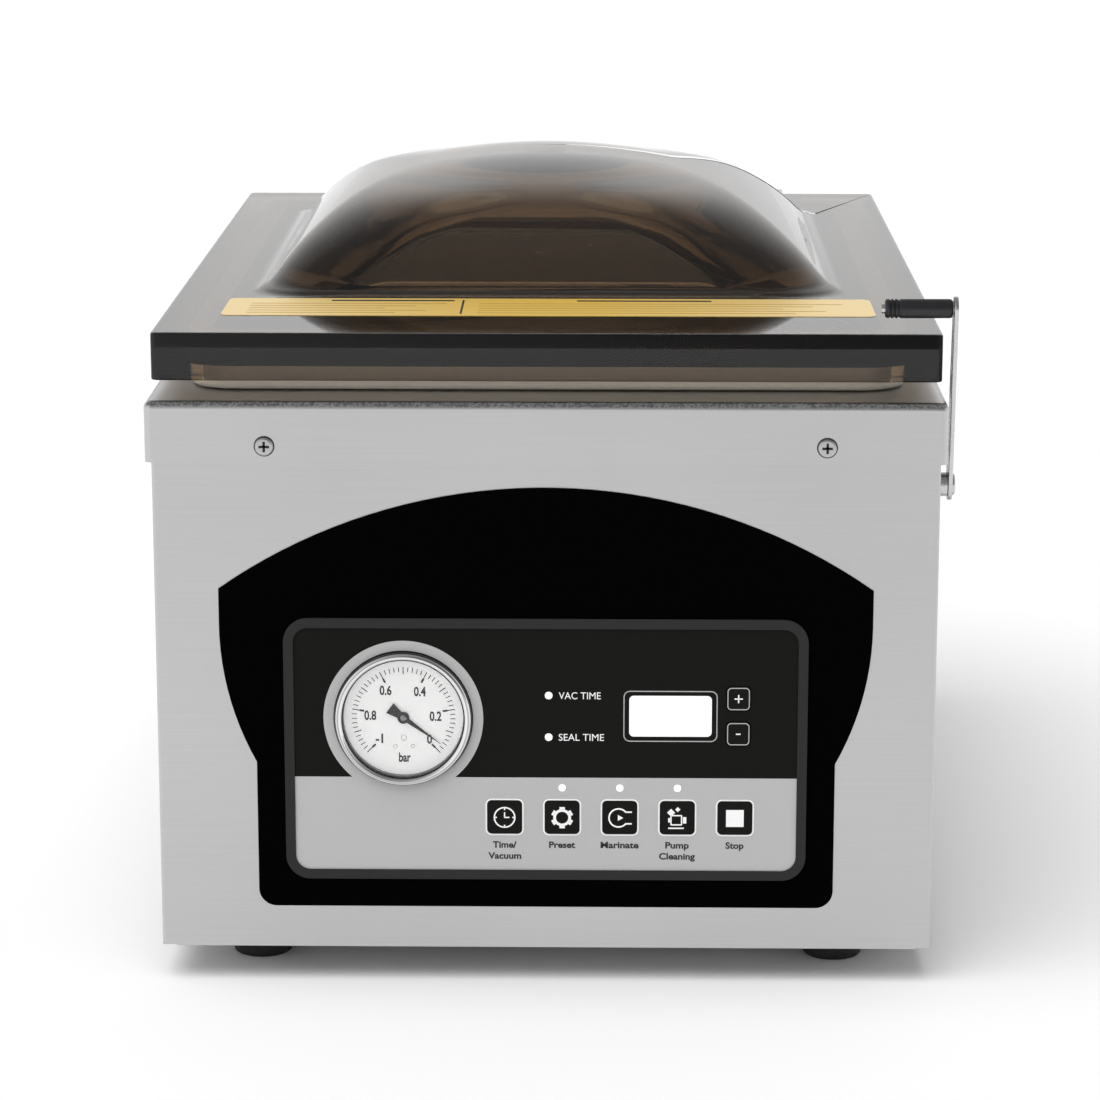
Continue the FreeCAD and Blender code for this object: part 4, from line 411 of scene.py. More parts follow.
def smoked_acrylic():
    """Clear brown acrylic, coloured through its thickness, with painted shade darkening its base colour over
    the dome.
    """
    material = new_finish("smoked_acrylic", Roughness=0.015, IOR=1.49, Transmission_Weight=1.0,
                          Base_Color=(1, 1, 1, 1))
    shader = material.node_tree.nodes["Principled BSDF"]
    spot = place_split(material)
    within = []
    for axis, middle, half in (("X", 0.0, DOME_HALF[0]), ("Y", DOME_CENTRE_Y, DOME_HALF[1])):
        near = add(material, "ShaderNodeMath", operation="COMPARE")
        near.inputs[1].default_value = middle * MM
        near.inputs[2].default_value = (half + PAINTED_SHADE_MARGIN) * MM
        link(material, spot[axis], near.inputs[0])
        within.append(near.outputs["Value"])
    over_dome = worked_out(material, "MULTIPLY", *within)
    # Painted shade: the base colour goes darker over the dome.
    painted_shade = ramp_between(material, over_dome, (1.0, 1.0, 1.0), DOME_PAINTED_SHADE, 0.0, 1.0)
    specks = noise_in(material, (500, 500, 500), 1.0)
    dust = ramp_between(material, specks, (0.9, 0.88, 0.84), (1, 1, 1), 0.2, 0.3)
    link(material, multiplied(material, painted_shade, dust), shader.inputs["Base Color"])
    smoke = add(material, "ShaderNodeVolumeAbsorption")
    smoke.inputs["Color"].default_value = SMOKE
    smoke.inputs["Density"].default_value = SMOKE_DENSITY
    output = material.node_tree.nodes["Material Output"]
    link(material, smoke.outputs["Volume"], output.inputs["Volume"])
    return material


def gold_film():
    """Gold label film, paler towards both ends."""
    material = new_finish("gold_label_film", Metallic=0.15, Roughness=0.38)
    shader = material.node_tree.nodes["Principled BSDF"]
    reach = add(material, "ShaderNodeMath", operation="ABSOLUTE")
    link(material, place_split(material)["X"], reach.inputs[0])
    paler = ranged(material, reach.outputs["Value"], 0.02, 0.135)
    colour = ramp_between(material, paler, (0.78, 0.52, 0.09), (0.80, 0.60, 0.26), 0.0, 1.0)
    link(material, colour, shader.inputs["Base Color"])
    relief(material, noise_in(material, (300, 300, 300)), 0.00002, 0.4)
    return material


SMOOTH_RELIEF = 0.00001    # metres of relief on film and moulded plastic
INK_RELIEF = 0.000005      # and on ink and chrome
GAUGE_OPENING = 25.2       # inside and outside radius of the gauge's chrome ring
GAUGE_RADIUS = 28.7
# Painted reflections on the chrome ring: how far across the ring, from its inside, and how bright the painted
# band is there.
CHROME_PAINTED_REFLECTIONS = ((0.0, 0.10), (0.12, 0.16), (0.24, 0.80), (0.46, 0.85), (0.58, 0.34), (0.68, 0.60),
                (0.84, 0.80), (0.93, 0.14), (1.0, 0.06))


def chrome_with_painted_reflections():
    """Rolled chrome ring with painted reflections: bright and dark bands set by the distance from the gauge's
    middle.
    """
    material = grained("gauge_chrome", (0.82, 0.82, 0.82), 0.06, 1.0, grain=300, depth=INK_RELIEF,
                       spread=0.02)
    shader = material.node_tree.nodes["Principled BSDF"]
    place = add(material, "ShaderNodeTexCoord")
    apart = add(material, "ShaderNodeVectorMath", operation="SUBTRACT")
    apart.inputs[1].default_value = metres((GAUGE[0], 0, GAUGE[1]))
    link(material, place.outputs["Object"], apart.inputs[0])
    level = add(material, "ShaderNodeVectorMath", operation="MULTIPLY")
    level.inputs[1].default_value = (1, 0, 1)
    link(material, apart.outputs["Vector"], level.inputs[0])
    reach = add(material, "ShaderNodeVectorMath", operation="LENGTH")
    link(material, level.outputs["Vector"], reach.inputs[0])
    across = ranged(material, reach.outputs["Value"], GAUGE_OPENING * MM, GAUGE_RADIUS * MM)
    # Painted reflections: the ring's base colour runs through bright and dark bands across its width.
    painted_reflection_bands = add(material, "ShaderNodeValToRGB")
    stops = painted_reflection_bands.color_ramp.elements
    while len(stops) < len(CHROME_PAINTED_REFLECTIONS):
        stops.new(0.5)
    for stop, (spot, tone) in zip(stops, CHROME_PAINTED_REFLECTIONS):
        stop.position = spot
        stop.color = (tone, tone, tone, 1)
    link(material, across, painted_reflection_bands.inputs["Fac"])
    link(material, painted_reflection_bands.outputs["Color"], shader.inputs["Base Color"])
    return material


FINISH = {
    "walls": brushed_sheet("brushed_cabinet_steel", STEEL_TONE, 0.36, 0.035),
    "deck": brushed_sheet("brushed_deck_steel", STEEL_TONE, 0.34, 0.03, bend_speckle=True),
    "tub": grained("drawn_tub_steel", (0.60, 0.60, 0.60), 0.26, 1.0, stretch=(40, 900, 900)),
    "bare": grained("bare_steel", (0.60, 0.60, 0.60), 0.27, 1.0, stretch=(300, 300, 1800)),
    "zinc": grained("zinc_plate", (0.66, 0.66, 0.63), 0.3, 1.0, grain=500),
    "chrome": chrome_with_painted_reflections(),
    "screw": grained("screw_steel", (0.50, 0.50, 0.50), 0.3, 1.0, grain=1500),
    # Near-black painted shade for the rim screws' recesses and the rings round their heads.
    "recess": grained("screw_recess", (0.02, 0.02, 0.02), 0.6, 0.0, grain=1500),
    "rubber": grained("foot_rubber", (0.012, 0.012, 0.013), 0.62, grain=1600),
    "grip": grained("grip_rubber", (0.010, 0.010, 0.012), 0.42, grain=1400),
    "seal": grained("seal_silicone", (0.80, 0.77, 0.70), 0.4, grain=700, spread=0.03, Subsurface_Weight=0.3,
                    Subsurface_Radius=(0.006, 0.005, 0.004)),
    "red_strip": grained("red_silicone", (0.42, 0.06, 0.04), 0.5, grain=900),
    "film": grained("black_panel_film", (0.0008, 0.0008, 0.0008), 0.6, grain=1200, depth=SMOOTH_RELIEF,
                    Specular_IOR_Level=0.01),
    "frame": grained("dark_grey_frame", (0.030, 0.031, 0.030), 0.5, grain=1500, depth=SMOOTH_RELIEF,
                     Specular_IOR_Level=0.06),
    "upper": grained("near_black_field", (0.0105, 0.0105, 0.0095), 0.5, grain=1500, depth=SMOOTH_RELIEF,
                     Specular_IOR_Level=0.03),
    "lower": grained("light_grey_field", (0.50, 0.50, 0.50), 0.48, grain=1500, depth=SMOOTH_RELIEF,
                     spread=0.02, Specular_IOR_Level=0.2),
    "window": grained("white_window", (0.92, 0.92, 0.92), 0.35, grain=900, depth=SMOOTH_RELIEF, spread=0.01,
                      Emission_Color=(1, 1, 1, 1), Emission_Strength=0.25),
    "led": grained("white_led", (0.92, 0.92, 0.92), 0.3, grain=900, depth=SMOOTH_RELIEF, spread=0.01,
                   Emission_Color=(1, 1, 1, 1), Emission_Strength=0.25),
    "key": grained("black_key", (0.010, 0.010, 0.009), 0.42, grain=1500, depth=SMOOTH_RELIEF,
                   Specular_IOR_Level=0.05),
    # Painted light: the white ink's emission makes the print glow brighter than the lamps light it.
    "white_ink": grained("white_ink", (0.85, 0.85, 0.85), 0.5, grain=2000, depth=INK_RELIEF, spread=0.02,
                         Emission_Color=(1, 1, 1, 1), Emission_Strength=0.12),
    "grey_ink": grained("grey_ink", (0.46, 0.46, 0.46), 0.5, grain=2000, depth=INK_RELIEF, spread=0.02),
    "dark_ink": grained("dark_ink", (0.012, 0.012, 0.012), 0.55, grain=2000, depth=INK_RELIEF, spread=0.02),
    "gold_ink": grained("label_rules", (0.40, 0.24, 0.04), 0.5, grain=2000, depth=INK_RELIEF, spread=0.05),
    "carrier": grained("carrier_plastic", (0.03, 0.03, 0.03), 0.5, grain=1000),
    "board": grained("circuit_board", (0.02, 0.12, 0.05), 0.4, grain=500, spread=0.2),
    # Painted light: the dial's emission brightens it where the glass and bezel shade it.
    "dial": grained("white_dial", (0.93, 0.93, 0.92), 0.5, grain=1200, depth=SMOOTH_RELIEF, spread=0.01,
                    Emission_Color=(1, 1, 1, 1), Emission_Strength=0.3),
    "pointer": grained("black_pointer", (0.008, 0.008, 0.008), 0.4, grain=1500, depth=SMOOTH_RELIEF),
    "brass": grained("gauge_brass", (0.62, 0.42, 0.17), 0.3, 1.0, grain=600),
    "case": grained("gauge_case_steel", (0.30, 0.30, 0.30), 0.4, 1.0, grain=600),
    "bar": grained("bar_aluminium", (0.72, 0.72, 0.73), 0.34, 1.0, stretch=(60, 1500, 1500)),
    "ribbon": grained("heating_ribbon", (0.45, 0.42, 0.38), 0.3, 1.0, grain=800),
    "tape": grained("brown_tape", (0.30, 0.20, 0.11), 0.55, grain=1500, spread=0.12),
    "cast": grained("cast_aluminium", (0.50, 0.50, 0.50), 0.55, 1.0, grain=900, depth=0.00012, spread=0.12),
    "motor": grained("motor_paint", (0.03, 0.05, 0.10), 0.45, grain=700, spread=0.1),
    "fan": grained("fan_plastic", (0.02, 0.02, 0.02), 0.45, grain=800),
    "hose": grained("suction_hose_rubber", (0.02, 0.02, 0.02), 0.55, grain=800),
    "filter": grained("filter_paint", (0.05, 0.05, 0.055), 0.45, grain=800),
    "core": grained("core_plates", (0.22, 0.20, 0.19), 0.45, 1.0, stretch=(30, 2200, 30), spread=0.25),
    "can": grained("capacitor_can", (0.68, 0.68, 0.68), 0.32, 1.0, grain=500),
    "inlet": grained("inlet_plastic", (0.012, 0.012, 0.012), 0.4, grain=1500, depth=0.00003),
    "blade": grained("contact_blade", (0.70, 0.62, 0.40), 0.28, 1.0, grain=700),
    "glass": grained("gauge_glass", (1.0, 1.0, 1.0), 0.01, grain=50, depth=0.000002, spread=0.0,
                     Transmission_Weight=1.0, IOR=1.35),
    "acrylic": smoked_acrylic(),
    "gold": gold_film(),
}

NODE_FINISH = {
    "walls": ("cabinet_wrap", "rear_cover", "base_pan"),
    "deck": ("top_deck",),
    "tub": ("chamber_tub", "suction_strainer"),
    "screw": ("deck_screws", "rear_cover_screws", "lid_hinge_screws"),
    "zinc": ("foot_screws", "pump_mounts"),
    "bare": ("hinge_brackets", "lid_hinge_leaves", "hinge_pins", "hinge_springs", "latch_lever", "latch_pin",
             "latch_pivot_bolt", "lift_rods"),
    "rubber": ("rubber_feet",),
    "grip": ("latch_grip",),
    "seal": ("lid_seal",),
    "red_strip": ("counter_bar_silicone",),
    "gold": ("lid_label",),
    "acrylic": ("lid_shell",),
    "bar": ("counter_bar_holder", "seal_bar"),
    "ribbon": ("heating_element",),
    "tape": ("ptfe_tape",),
    "film": ("panel_overlay",),
    "frame": ("panel_bezel",),
    "upper": ("panel_upper_field",),
    "lower": ("panel_lower_field",),
    "carrier": ("panel_carrier",),
    "window": ("display_lens",),
    "led": ("indicator_leds",),
    "board": ("control_board",),
    "key": ("key_vacuum", "key_preset", "key_marinate", "key_pump_clean", "key_stop", "key_plus",
            "key_minus"),
    "chrome": ("gauge_bezel",),
    "glass": ("gauge_glass",),
    "case": ("gauge_case",),
    "dial": ("gauge_dial",),
    "pointer": ("gauge_pointer",),
    "inlet": ("power_inlet", "power_rocker"),
    "cast": ("vacuum_pump", "lift_cylinders", "solenoid_valve"),
    "motor": ("pump_motor",),
    "fan": ("pump_fan",),
    "hose": ("suction_hose",),
    "filter": ("exhaust_filter",),
    "core": ("seal_transformer",),
    "can": ("motor_capacitor",),
}


def paint(piece, finish):
    piece.data.materials.clear()
    piece.data.materials.append(FINISH[finish])


def fitted(piece, body, finish, slot, *replaced):
    """Gives a piece its finish and its body, and hides the parts it stands for."""
    paint(piece, finish)
    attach(piece, body)
    if replaced:
        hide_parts(*replaced)
    return piece


for finish, nodes in NODE_FINISH.items():
    for node in nodes:
        paint(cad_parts[node], finish)


# ------------------------------------------------------------------ lid
DOME_SECTION = ((0.0, 0.0), (5.5, 5.2), (10.5, 11.0), (17.0, 17.6), (25.0, 24.2), (34.0, 30.4), (44.5, 35.7),
                (58.0, 39.9), (76.0, 43.4), (93.0, 45.8), (106.0, 47.1), (117.0, 47.7))
DOME_SHIFT = -1.0          # dome's foot left of the lid's middle
DOME_LEAN = -3.2           # how much further left the crown sits
DOME_LEAN_HEIGHT = 40      # height by which it has all of that lean
DOME_CORNER = 24.0
DOME_CORNER_GROWTH = 0.55
FLARE = 4.0                # how far the dome's foot runs out onto the plate
CAVITY_STEP = 3.0          # hollow's foot outside the dome's
CAVITY_CORNER = DOME_CORNER + 12
GROOVE_OUTSIDE = ((150.1, 206.1), LID_CENTRE_Y, 20.1)
GROOVE_INSIDE = ((139.9, 195.9), LID_CENTRE_Y, 9.9)
GROOVE_TOP = LID_BOTTOM + 5
PLATE_CORNER = 2.2
SEAL_HALF = (150, 206)
SEAL_CORNER = 20
SEAL_WIDTH = 10.0


def between(points, step_count):
    """A smooth line through points, each run divided evenly."""
    smooth = []
    for index in range(len(points) - 1):
        around = [Vector(points[min(max(index + shift, 0), len(points) - 1)]) for shift in (-1, 0, 1, 2)]
        before, start, stop, after = around
        for step in range(step_count):
            t = step / step_count
            line = 2 * start + (stop - before) * t
            bend = (2 * before - 5 * start + 4 * stop - after) * t * t
            twist = (3 * start - before - 3 * stop + after) * t ** 3
            smooth.append(0.5 * (line + bend + twist))
    return smooth + [Vector(points[-1])]


def dome_rings(half, corner, rise, base, section):
    """Level rings up the dome: each draws in while its corners grow."""
    rings = []
    for inset, height in section:
        shape = (half[0] - inset, half[1] - inset)
        radius = min(corner + DOME_CORNER_GROWTH * inset, min(shape) - 1)
        ring = rounded_ring(shape, DOME_CENTRE_Y, radius, base + height * rise)
        aside = Vector((DOME_SHIFT + DOME_LEAN * min(height / DOME_LEAN_HEIGHT, 1), 0, 0)) * MM
        rings.append([point + aside for point in ring])
    return rings


def lid_acrylic():
    """Thick smoked plate with a raised dome, hollow inside, and a groove for the seal."""
    outside = between(DOME_SECTION, 4)
    flare = ((-FLARE - 1.0, 0.0), (-FLARE, 0.0), (-FLARE * 0.55, 0.25), (-FLARE * 0.2, 0.9), (0.8, 1.9))
    outside = [Vector(point) for point in flare] + [point for point in outside if point.x > 2]
    outer = dome_rings(DOME_HALF, DOME_CORNER, 1.0, LID_TOP, outside)
    inner_half = (DOME_HALF[0] + CAVITY_STEP, DOME_HALF[1] + CAVITY_STEP)
    inside = [Vector(point) for point in ((0.0, 0.0), (0.4, 6.0), (2.5, 12.0), (6.5, 17.5))]
    upper = [point for point in between(DOME_SECTION, 3) if point.y > 6]
    inside += [Vector((point.x * 0.8 + 9.0, point.y + 14.0)) for point in upper]
    inner = dome_rings(inner_half, CAVITY_CORNER, 0.97, LID_BOTTOM, inside)
    wider_half = (inner_half[0] + 1, inner_half[1] + 1)
    flat = [rounded_ring(inner_half, DOME_CENTRE_Y, CAVITY_CORNER, LID_BOTTOM),
            rounded_ring(wider_half, DOME_CENTRE_Y, CAVITY_CORNER + 1, LID_BOTTOM),
            rounded_ring(*GROOVE_INSIDE, LID_BOTTOM), rounded_ring(*GROOVE_INSIDE, GROOVE_TOP),
            rounded_ring(*GROOVE_OUTSIDE, GROOVE_TOP), rounded_ring(*GROOVE_OUTSIDE, LID_BOTTOM)]
    edge = []
    for inset, z in ((0.9, LID_BOTTOM), (0.25, LID_BOTTOM + 0.25), (0.0, LID_BOTTOM + 0.9),
                     (0.0, LID_TOP - 0.9), (0.25, LID_TOP - 0.25), (0.9, LID_TOP), (1.6, LID_TOP)):
        half = (LID_HALF[0] - inset, LID_HALF[1] - inset)
        edge.append(rounded_ring(half, LID_CENTRE_Y, PLATE_CORNER, z))
    piece = drawn_through("lid_acrylic", inner[::-1][:-1] + flat + edge + outer)
    return smoothed(piece, 30)


fitted(lid_acrylic(), "lid", "acrylic", "smoked_acrylic", "lid_shell")


def lid_seal_profile():
    """Silicone seal: a foot in the groove, a waist and a rounded lip that meets the deck."""
    foot = 4.9
    side = ((0.0, foot), (0.0, 0.4), (1.0, -0.6), (1.0, -2.4), (0.1, -3.3), (0.0, -4.6), (0.9, -5.8),
            (3.0, -6.15))
    section = side + tuple((SEAL_WIDTH - inset, height) for inset, height in reversed(side))
    rings = []
    for inset, height in section:
        half = (SEAL_HALF[0] - inset, SEAL_HALF[1] - inset)
        rings.append(rounded_ring(half, LID_CENTRE_Y, SEAL_CORNER - inset, LID_BOTTOM + height))
    piece = drawn_through("lid_seal_strip", rings)
    start_edit(piece, "FACE")
    pick_faces(piece, lambda middle, normal: abs(middle.z - LID_BOTTOM - foot) < 0.01 and abs(normal.z) > 0.9)
    bpy.ops.mesh.delete(type="FACE")
    bpy.ops.mesh.select_all(action="DESELECT")
    pick_edges(piece, lambda middle, along: abs(middle.z - LID_BOTTOM - foot) < 0.01)
    bpy.ops.mesh.bridge_edge_loops()
    bpy.ops.mesh.select_all(action="SELECT")
    bpy.ops.mesh.normals_make_consistent(inside=False)
    end_edit()
    return smoothed(piece, 50)


fitted(lid_seal_profile(), "lid", "seal", "white_silicone", "lid_seal")


# ------------------------------------------------------------------ printed marks
def flat_patch(x, y, width, height, turn=0.0):
    """An upright rectangle facing forward, before it gets its ink thickness."""
    bpy.ops.object.select_all(action="DESELECT")
    bpy.ops.mesh.primitive_plane_add(size=1, location=(0, 0, 0))
    patch = bpy.context.object
    patch.scale = (width * MM, height * MM, 1)
    bpy.ops.object.transform_apply(location=False, rotation=False, scale=True)
    patch.data.transform(Matrix.Translation((x * MM, y * MM, 0)) @ Matrix.Rotation(turn, 4, "Z"))
    return patch


def flat_disc(x, y, radius, sides=40, turn=0.0):
    bpy.ops.object.select_all(action="DESELECT")
    bpy.ops.mesh.primitive_circle_add(vertices=sides, radius=radius * MM, fill_type="NGON")
    disc = bpy.context.object
    disc.data.transform(Matrix.Translation((x * MM, y * MM, 0)) @ Matrix.Rotation(turn, 4, "Z"))
    return disc


def hollowed(patch, width, opening=None):
    """Leaves only a line of the given width round a flat shape, open between two angles if asked."""
    start_edit(patch, "FACE")
    bpy.ops.mesh.select_all(action="SELECT")
    bpy.ops.mesh.inset(thickness=width * MM, use_boundary=True)
    bpy.ops.mesh.delete(type="FACE")
    if opening:
        centre, low, high = opening
        pick_faces(patch, lambda middle, normal: low < math.degrees(
            math.atan2(middle.y - centre[1], middle.x - centre[0])) < high)
        bpy.ops.mesh.delete(type="FACE")
    end_edit()
    return patch


def cornered(patch, radius, segments=5):
    start_edit(patch, "VERT")
    bpy.ops.mesh.select_all(action="SELECT")
    bpy.ops.mesh.bevel(offset=radius * MM, segments=segments, affect="VERTICES")
    end_edit()
    return patch


def printed(name, patches, origin, body, finish, slot, level=False):
    """Joins flat marks, gives them ink thickness, and stands them facing forward or lays them level."""
    piece = joined(name, patches)
    modifier = piece.modifiers.new("ink", "SOLIDIFY")
    modifier.thickness = INK * MM
    modifier.offset = 1.0
    select_only(piece)
    bpy.ops.object.modifier_apply(modifier=modifier.name)
    stand = Matrix.Identity(4) if level else Matrix.Rotation(math.pi / 2, 4, "X")
    piece.data.transform(Matrix.Translation(metres(origin)) @ stand)
    return fitted(piece, body, finish, slot)


CAPITAL = 0.70             # a capital's height as a share of the letters' size


def words(name, text, x, z, height, width, depth, finish, slot, bold=0.0, centred=True):
    """Letters at a height and width on the front face."""
    bpy.ops.object.select_all(action="DESELECT")
    bpy.ops.object.text_add(location=(0, 0, 0))
    letters = bpy.context.object
    letters.data.body = text
    letters.data.size = 1.0
    letters.data.offset = bold
    letters.data.extrude = 0.5
    letters.data.resolution_u = 4
    bpy.ops.object.convert(target="MESH")
    piece = named(name)
    xs = [vertex.co.x for vertex in piece.data.vertices]
    low, high = min(xs), max(xs)
    scale = Matrix.Diagonal((width / (high - low) * MM, height / CAPITAL * MM, INK * MM, 1))
    shift = Matrix.Translation((-(low + high) / 2 if centred else -low, 0, 0))
    place = Matrix.Translation(metres((x, depth - INK / 2, z))) @ Matrix.Rotation(math.pi / 2, 4, "X")
    piece.data.transform(place @ scale @ shift)
    return fitted(piece, "housing", finish, slot)


def outline(name, x, z, width, height, radius, line, depth, body, finish, slot):
    patch = hollowed(cornered(flat_patch(0, 0, width, height), radius), line)
    return printed(name, [patch], (x, depth, z), body, finish, slot)


# ------------------------------------------------------------------ front panel
LABEL_Z, LABEL_LINE = 59.4, 4.85
TIME_LABEL_X = 5.5

for label, key_x, lines in (("vacuum", KEY_XS[0], (("Time/", 10.0), ("Vacuum", 13.9))),
                            ("preset", KEY_XS[1], (("Preset", 11.0),)),
                            ("marinate", KEY_XS[2], (("Marinate", 16.0),)),
                            ("pump_clean", KEY_XS[3], (("Pump", 9.9), ("Cleaning", 15.1))),
                            ("stop", KEY_XS[4], (("Stop", 7.6),))):
    for row, (text, width) in enumerate(lines):
        words(f"label_{label}_{row}", text, key_x, LABEL_Z - LABEL_LINE * row, 2.7, width, FIELD_FACE,
              "dark_ink", "black_key", bold=0.03)
    outline(f"ring_{label}", key_x, KEY_ROW_Z, 16.0, 16.0, 2.5, 0.62, FIELD_FACE, "housing", "white_ink",
            "white_window")
for label, text, z, width in (("vacuum", "VAC TIME", 124.2, 17.5), ("seal", "SEAL TIME", 106.2, 18.9)):
    words(f"label_{label}_time", text, TIME_LABEL_X, z, 3.0, width, FIELD_FACE, "white_ink", "white_window",
          centred=False)
outline("display_outline", 52.1, 116.9, 39.2, 22.0, 2.7, 0.42, FIELD_FACE, "housing", "grey_ink",
        "light_grey_field")
for body, z in (("button_plus", PLUS_Z), ("button_minus", MINUS_Z)):
    outline(f"outline_{body}", STEP_KEY_X, z, 9.3, 9.6, 1.7, 0.4, KEY_FACE, body, "grey_ink",
            "light_grey_field")


def gear_mark():
    marks = [hollowed(flat_disc(0, 0, 3.75), 1.15)]
    for tooth in range(6):
        angle = math.radians(90 + 60 * tooth)
        marks.append(flat_patch(4.05 * math.cos(angle), 4.05 * math.sin(angle), 1.2, 2.3, angle))
    return marks


def clock_mark():
    marks = [hollowed(flat_disc(0, 0, 4.6), 0.6)]
    for quarter in range(4):
        angle = math.pi / 2 * quarter
        marks.append(flat_patch(3.75 * math.cos(angle), 3.75 * math.sin(angle), 1.0, 0.6, angle))
    marks.append(flat_patch(0, 1.05, 0.55, 2.4))
    marks.append(flat_patch(0.9, 0, 2.3, 0.55))
    return marks


def tumble_mark():
    ring = hollowed(flat_disc(-0.5, 0, 4.3), 0.65, opening=((-0.5, 0), -38, 38))
    marks = [ring, flat_disc(0.0, 0, 1.5, sides=3, turn=-math.pi / 2)]
    for side in (-1, 1):
        marks.append(flat_patch(3.9, side * 2.55, 2.4, 0.65))
    return marks


def pump_mark():
    return [hollowed(cornered(flat_patch(-0.4, -0.9, 5.0, 4.6), 0.5), 0.55), flat_patch(3.1, -0.9, 1.4, 2.8),
            flat_patch(-3.4, -0.9, 0.8, 1.9), flat_patch(-0.5, -4.4, 6.6, 0.6),
            flat_disc(-2.6, 2.4, 1.7, sides=4), flat_disc(0.2, 3.8, 1.1, sides=4)]


def stop_mark():
    return [flat_patch(0, 0, 7.4, 7.4)]


def plus_mark():
    return [flat_patch(0, 0, 3.5, 0.55), flat_patch(0, 0, 0.55, 3.5)]


def minus_mark():
    return [flat_patch(0, 0, 2.0, 0.55)]


for label, x, z, mark in (("vacuum", KEY_XS[0], KEY_ROW_Z, clock_mark),
                          ("preset", KEY_XS[1], KEY_ROW_Z, gear_mark),
                          ("marinate", KEY_XS[2], KEY_ROW_Z, tumble_mark),
                          ("pump_clean", KEY_XS[3], KEY_ROW_Z, pump_mark),
                          ("stop", KEY_XS[4], KEY_ROW_Z, stop_mark),
                          ("plus", STEP_KEY_X, PLUS_Z, plus_mark),
                          ("minus", STEP_KEY_X, MINUS_Z, minus_mark)):
    printed(f"mark_{label}", mark(), (x, KEY_FACE, z), f"button_{label}", "white_ink", "white_window")


# ------------------------------------------------------------------ vacuum gauge
RING_FRONT = -242.0
SCALE_START, SCALE_SWEEP, DIVISIONS = -45, 270, 50
SCALE_RADIUS, HEAVY_RADIUS = 21.7, 17.6
FIGURE_HEIGHT = 3.9


def gauge_ring():
    section = ((GAUGE_RADIUS, 3.9), (GAUGE_RADIUS, 1.5), (28.45, 0.85), (27.9, 0.3), (27.2, 0.02),
               (26.7, 0.06), (26.3, 0.3), (25.9, 0.75), (25.5, 0.95), (25.25, 1.3), (25.65, 2.2),
               (25.65, 3.9))
    return turned("gauge_chrome_ring", section, (GAUGE[0], RING_FRONT, GAUGE[1]), steps=128)


def gauge_scale():
    """Fifty divisions over 270 degrees, with longer marks each tenth and heavy ones each fifth."""
    marks = []
    for division in range(DIVISIONS + 1):
        angle = math.radians(SCALE_START + SCALE_SWEEP * division / DIVISIONS)
        across, up = math.cos(angle), math.sin(angle)
        length, width = (3.2, 0.42) if division % 5 == 0 else (2.2, 0.36)
        middle = SCALE_RADIUS - length / 2
        marks.append(flat_patch(middle * across, middle * up, length, width, angle))
        if division % 10 == 0:
            marks.append(flat_patch(HEAVY_RADIUS * across, HEAVY_RADIUS * up, 2.0, 0.85, angle))
    return marks


fitted(gauge_ring(), "housing", "chrome", "polished_steel", "gauge_bezel")
printed("gauge_scale_marks", gauge_scale(), (GAUGE[0], DIAL_FACE, GAUGE[1]), "housing", "dark_ink",
        "black_pointer")
for index, (text, dx, dz, width) in enumerate((("0", 10.8, -11.4, 2.2), ("0.2", 13.4, -1.5, 5.0),
                                               ("0.4", 6.9, 9.2, 5.0), ("0.6", -7.4, 9.6, 5.0),
                                               ("0.8", -13.9, -1.2, 5.0), ("-1", -10.2, -11.2, 3.2),
                                               ("bar", 0.4, -19.3, 5.0))):
    words(f"gauge_figure_{index}", text, GAUGE[0] + dx, GAUGE[1] + dz, FIGURE_HEIGHT, width, DIAL_FACE,
          "dark_ink", "black_pointer", bold=0.03)
for index, (dx, dz, radius) in enumerate(((0.1, -9.0, 1.25), (-3.5, -12.8, 0.9), (3.9, -12.6, 0.9))):
    printed(f"dial_screw_{index}", [hollowed(flat_disc(0, 0, radius), 0.22)],
            (GAUGE[0] + dx, DIAL_FACE, GAUGE[1] + dz), "housing", "case", "gauge_brass")


def pointer_rivet():
    section = ((0.0, 0.0), (0.9, 0.05), (1.25, 0.3), (1.3, 0.55), (0.0, 0.55))
    return turned("pointer_rivet", section, (GAUGE[0], -238.5, GAUGE[1]), steps=32)


fitted(pointer_rivet(), "gauge_needle", "case", "gauge_brass")
# Painted shadow: a thin dark ring on the panel round the gauge's chrome ring.
gauge_ring_shadow = [hollowed(flat_disc(0, 0, 29.2, sides=96), 0.5)]
printed("gauge_ring_gap", gauge_ring_shadow, (GAUGE[0], FIELD_FACE, GAUGE[1]), "housing", "dark_ink", "black_pointer")


# ------------------------------------------------------------------ rim screws
RIM_SCREW_Z = 231.5
RIM_SCREW_X, RIM_SCREW_Y = 115.5, 130.0
RIM_FRONT, RIM_BACK, RIM_SIDE = -240.0, 237.0, 165.0
RECESS_LIFT = 0.75         # cross above the rim's face


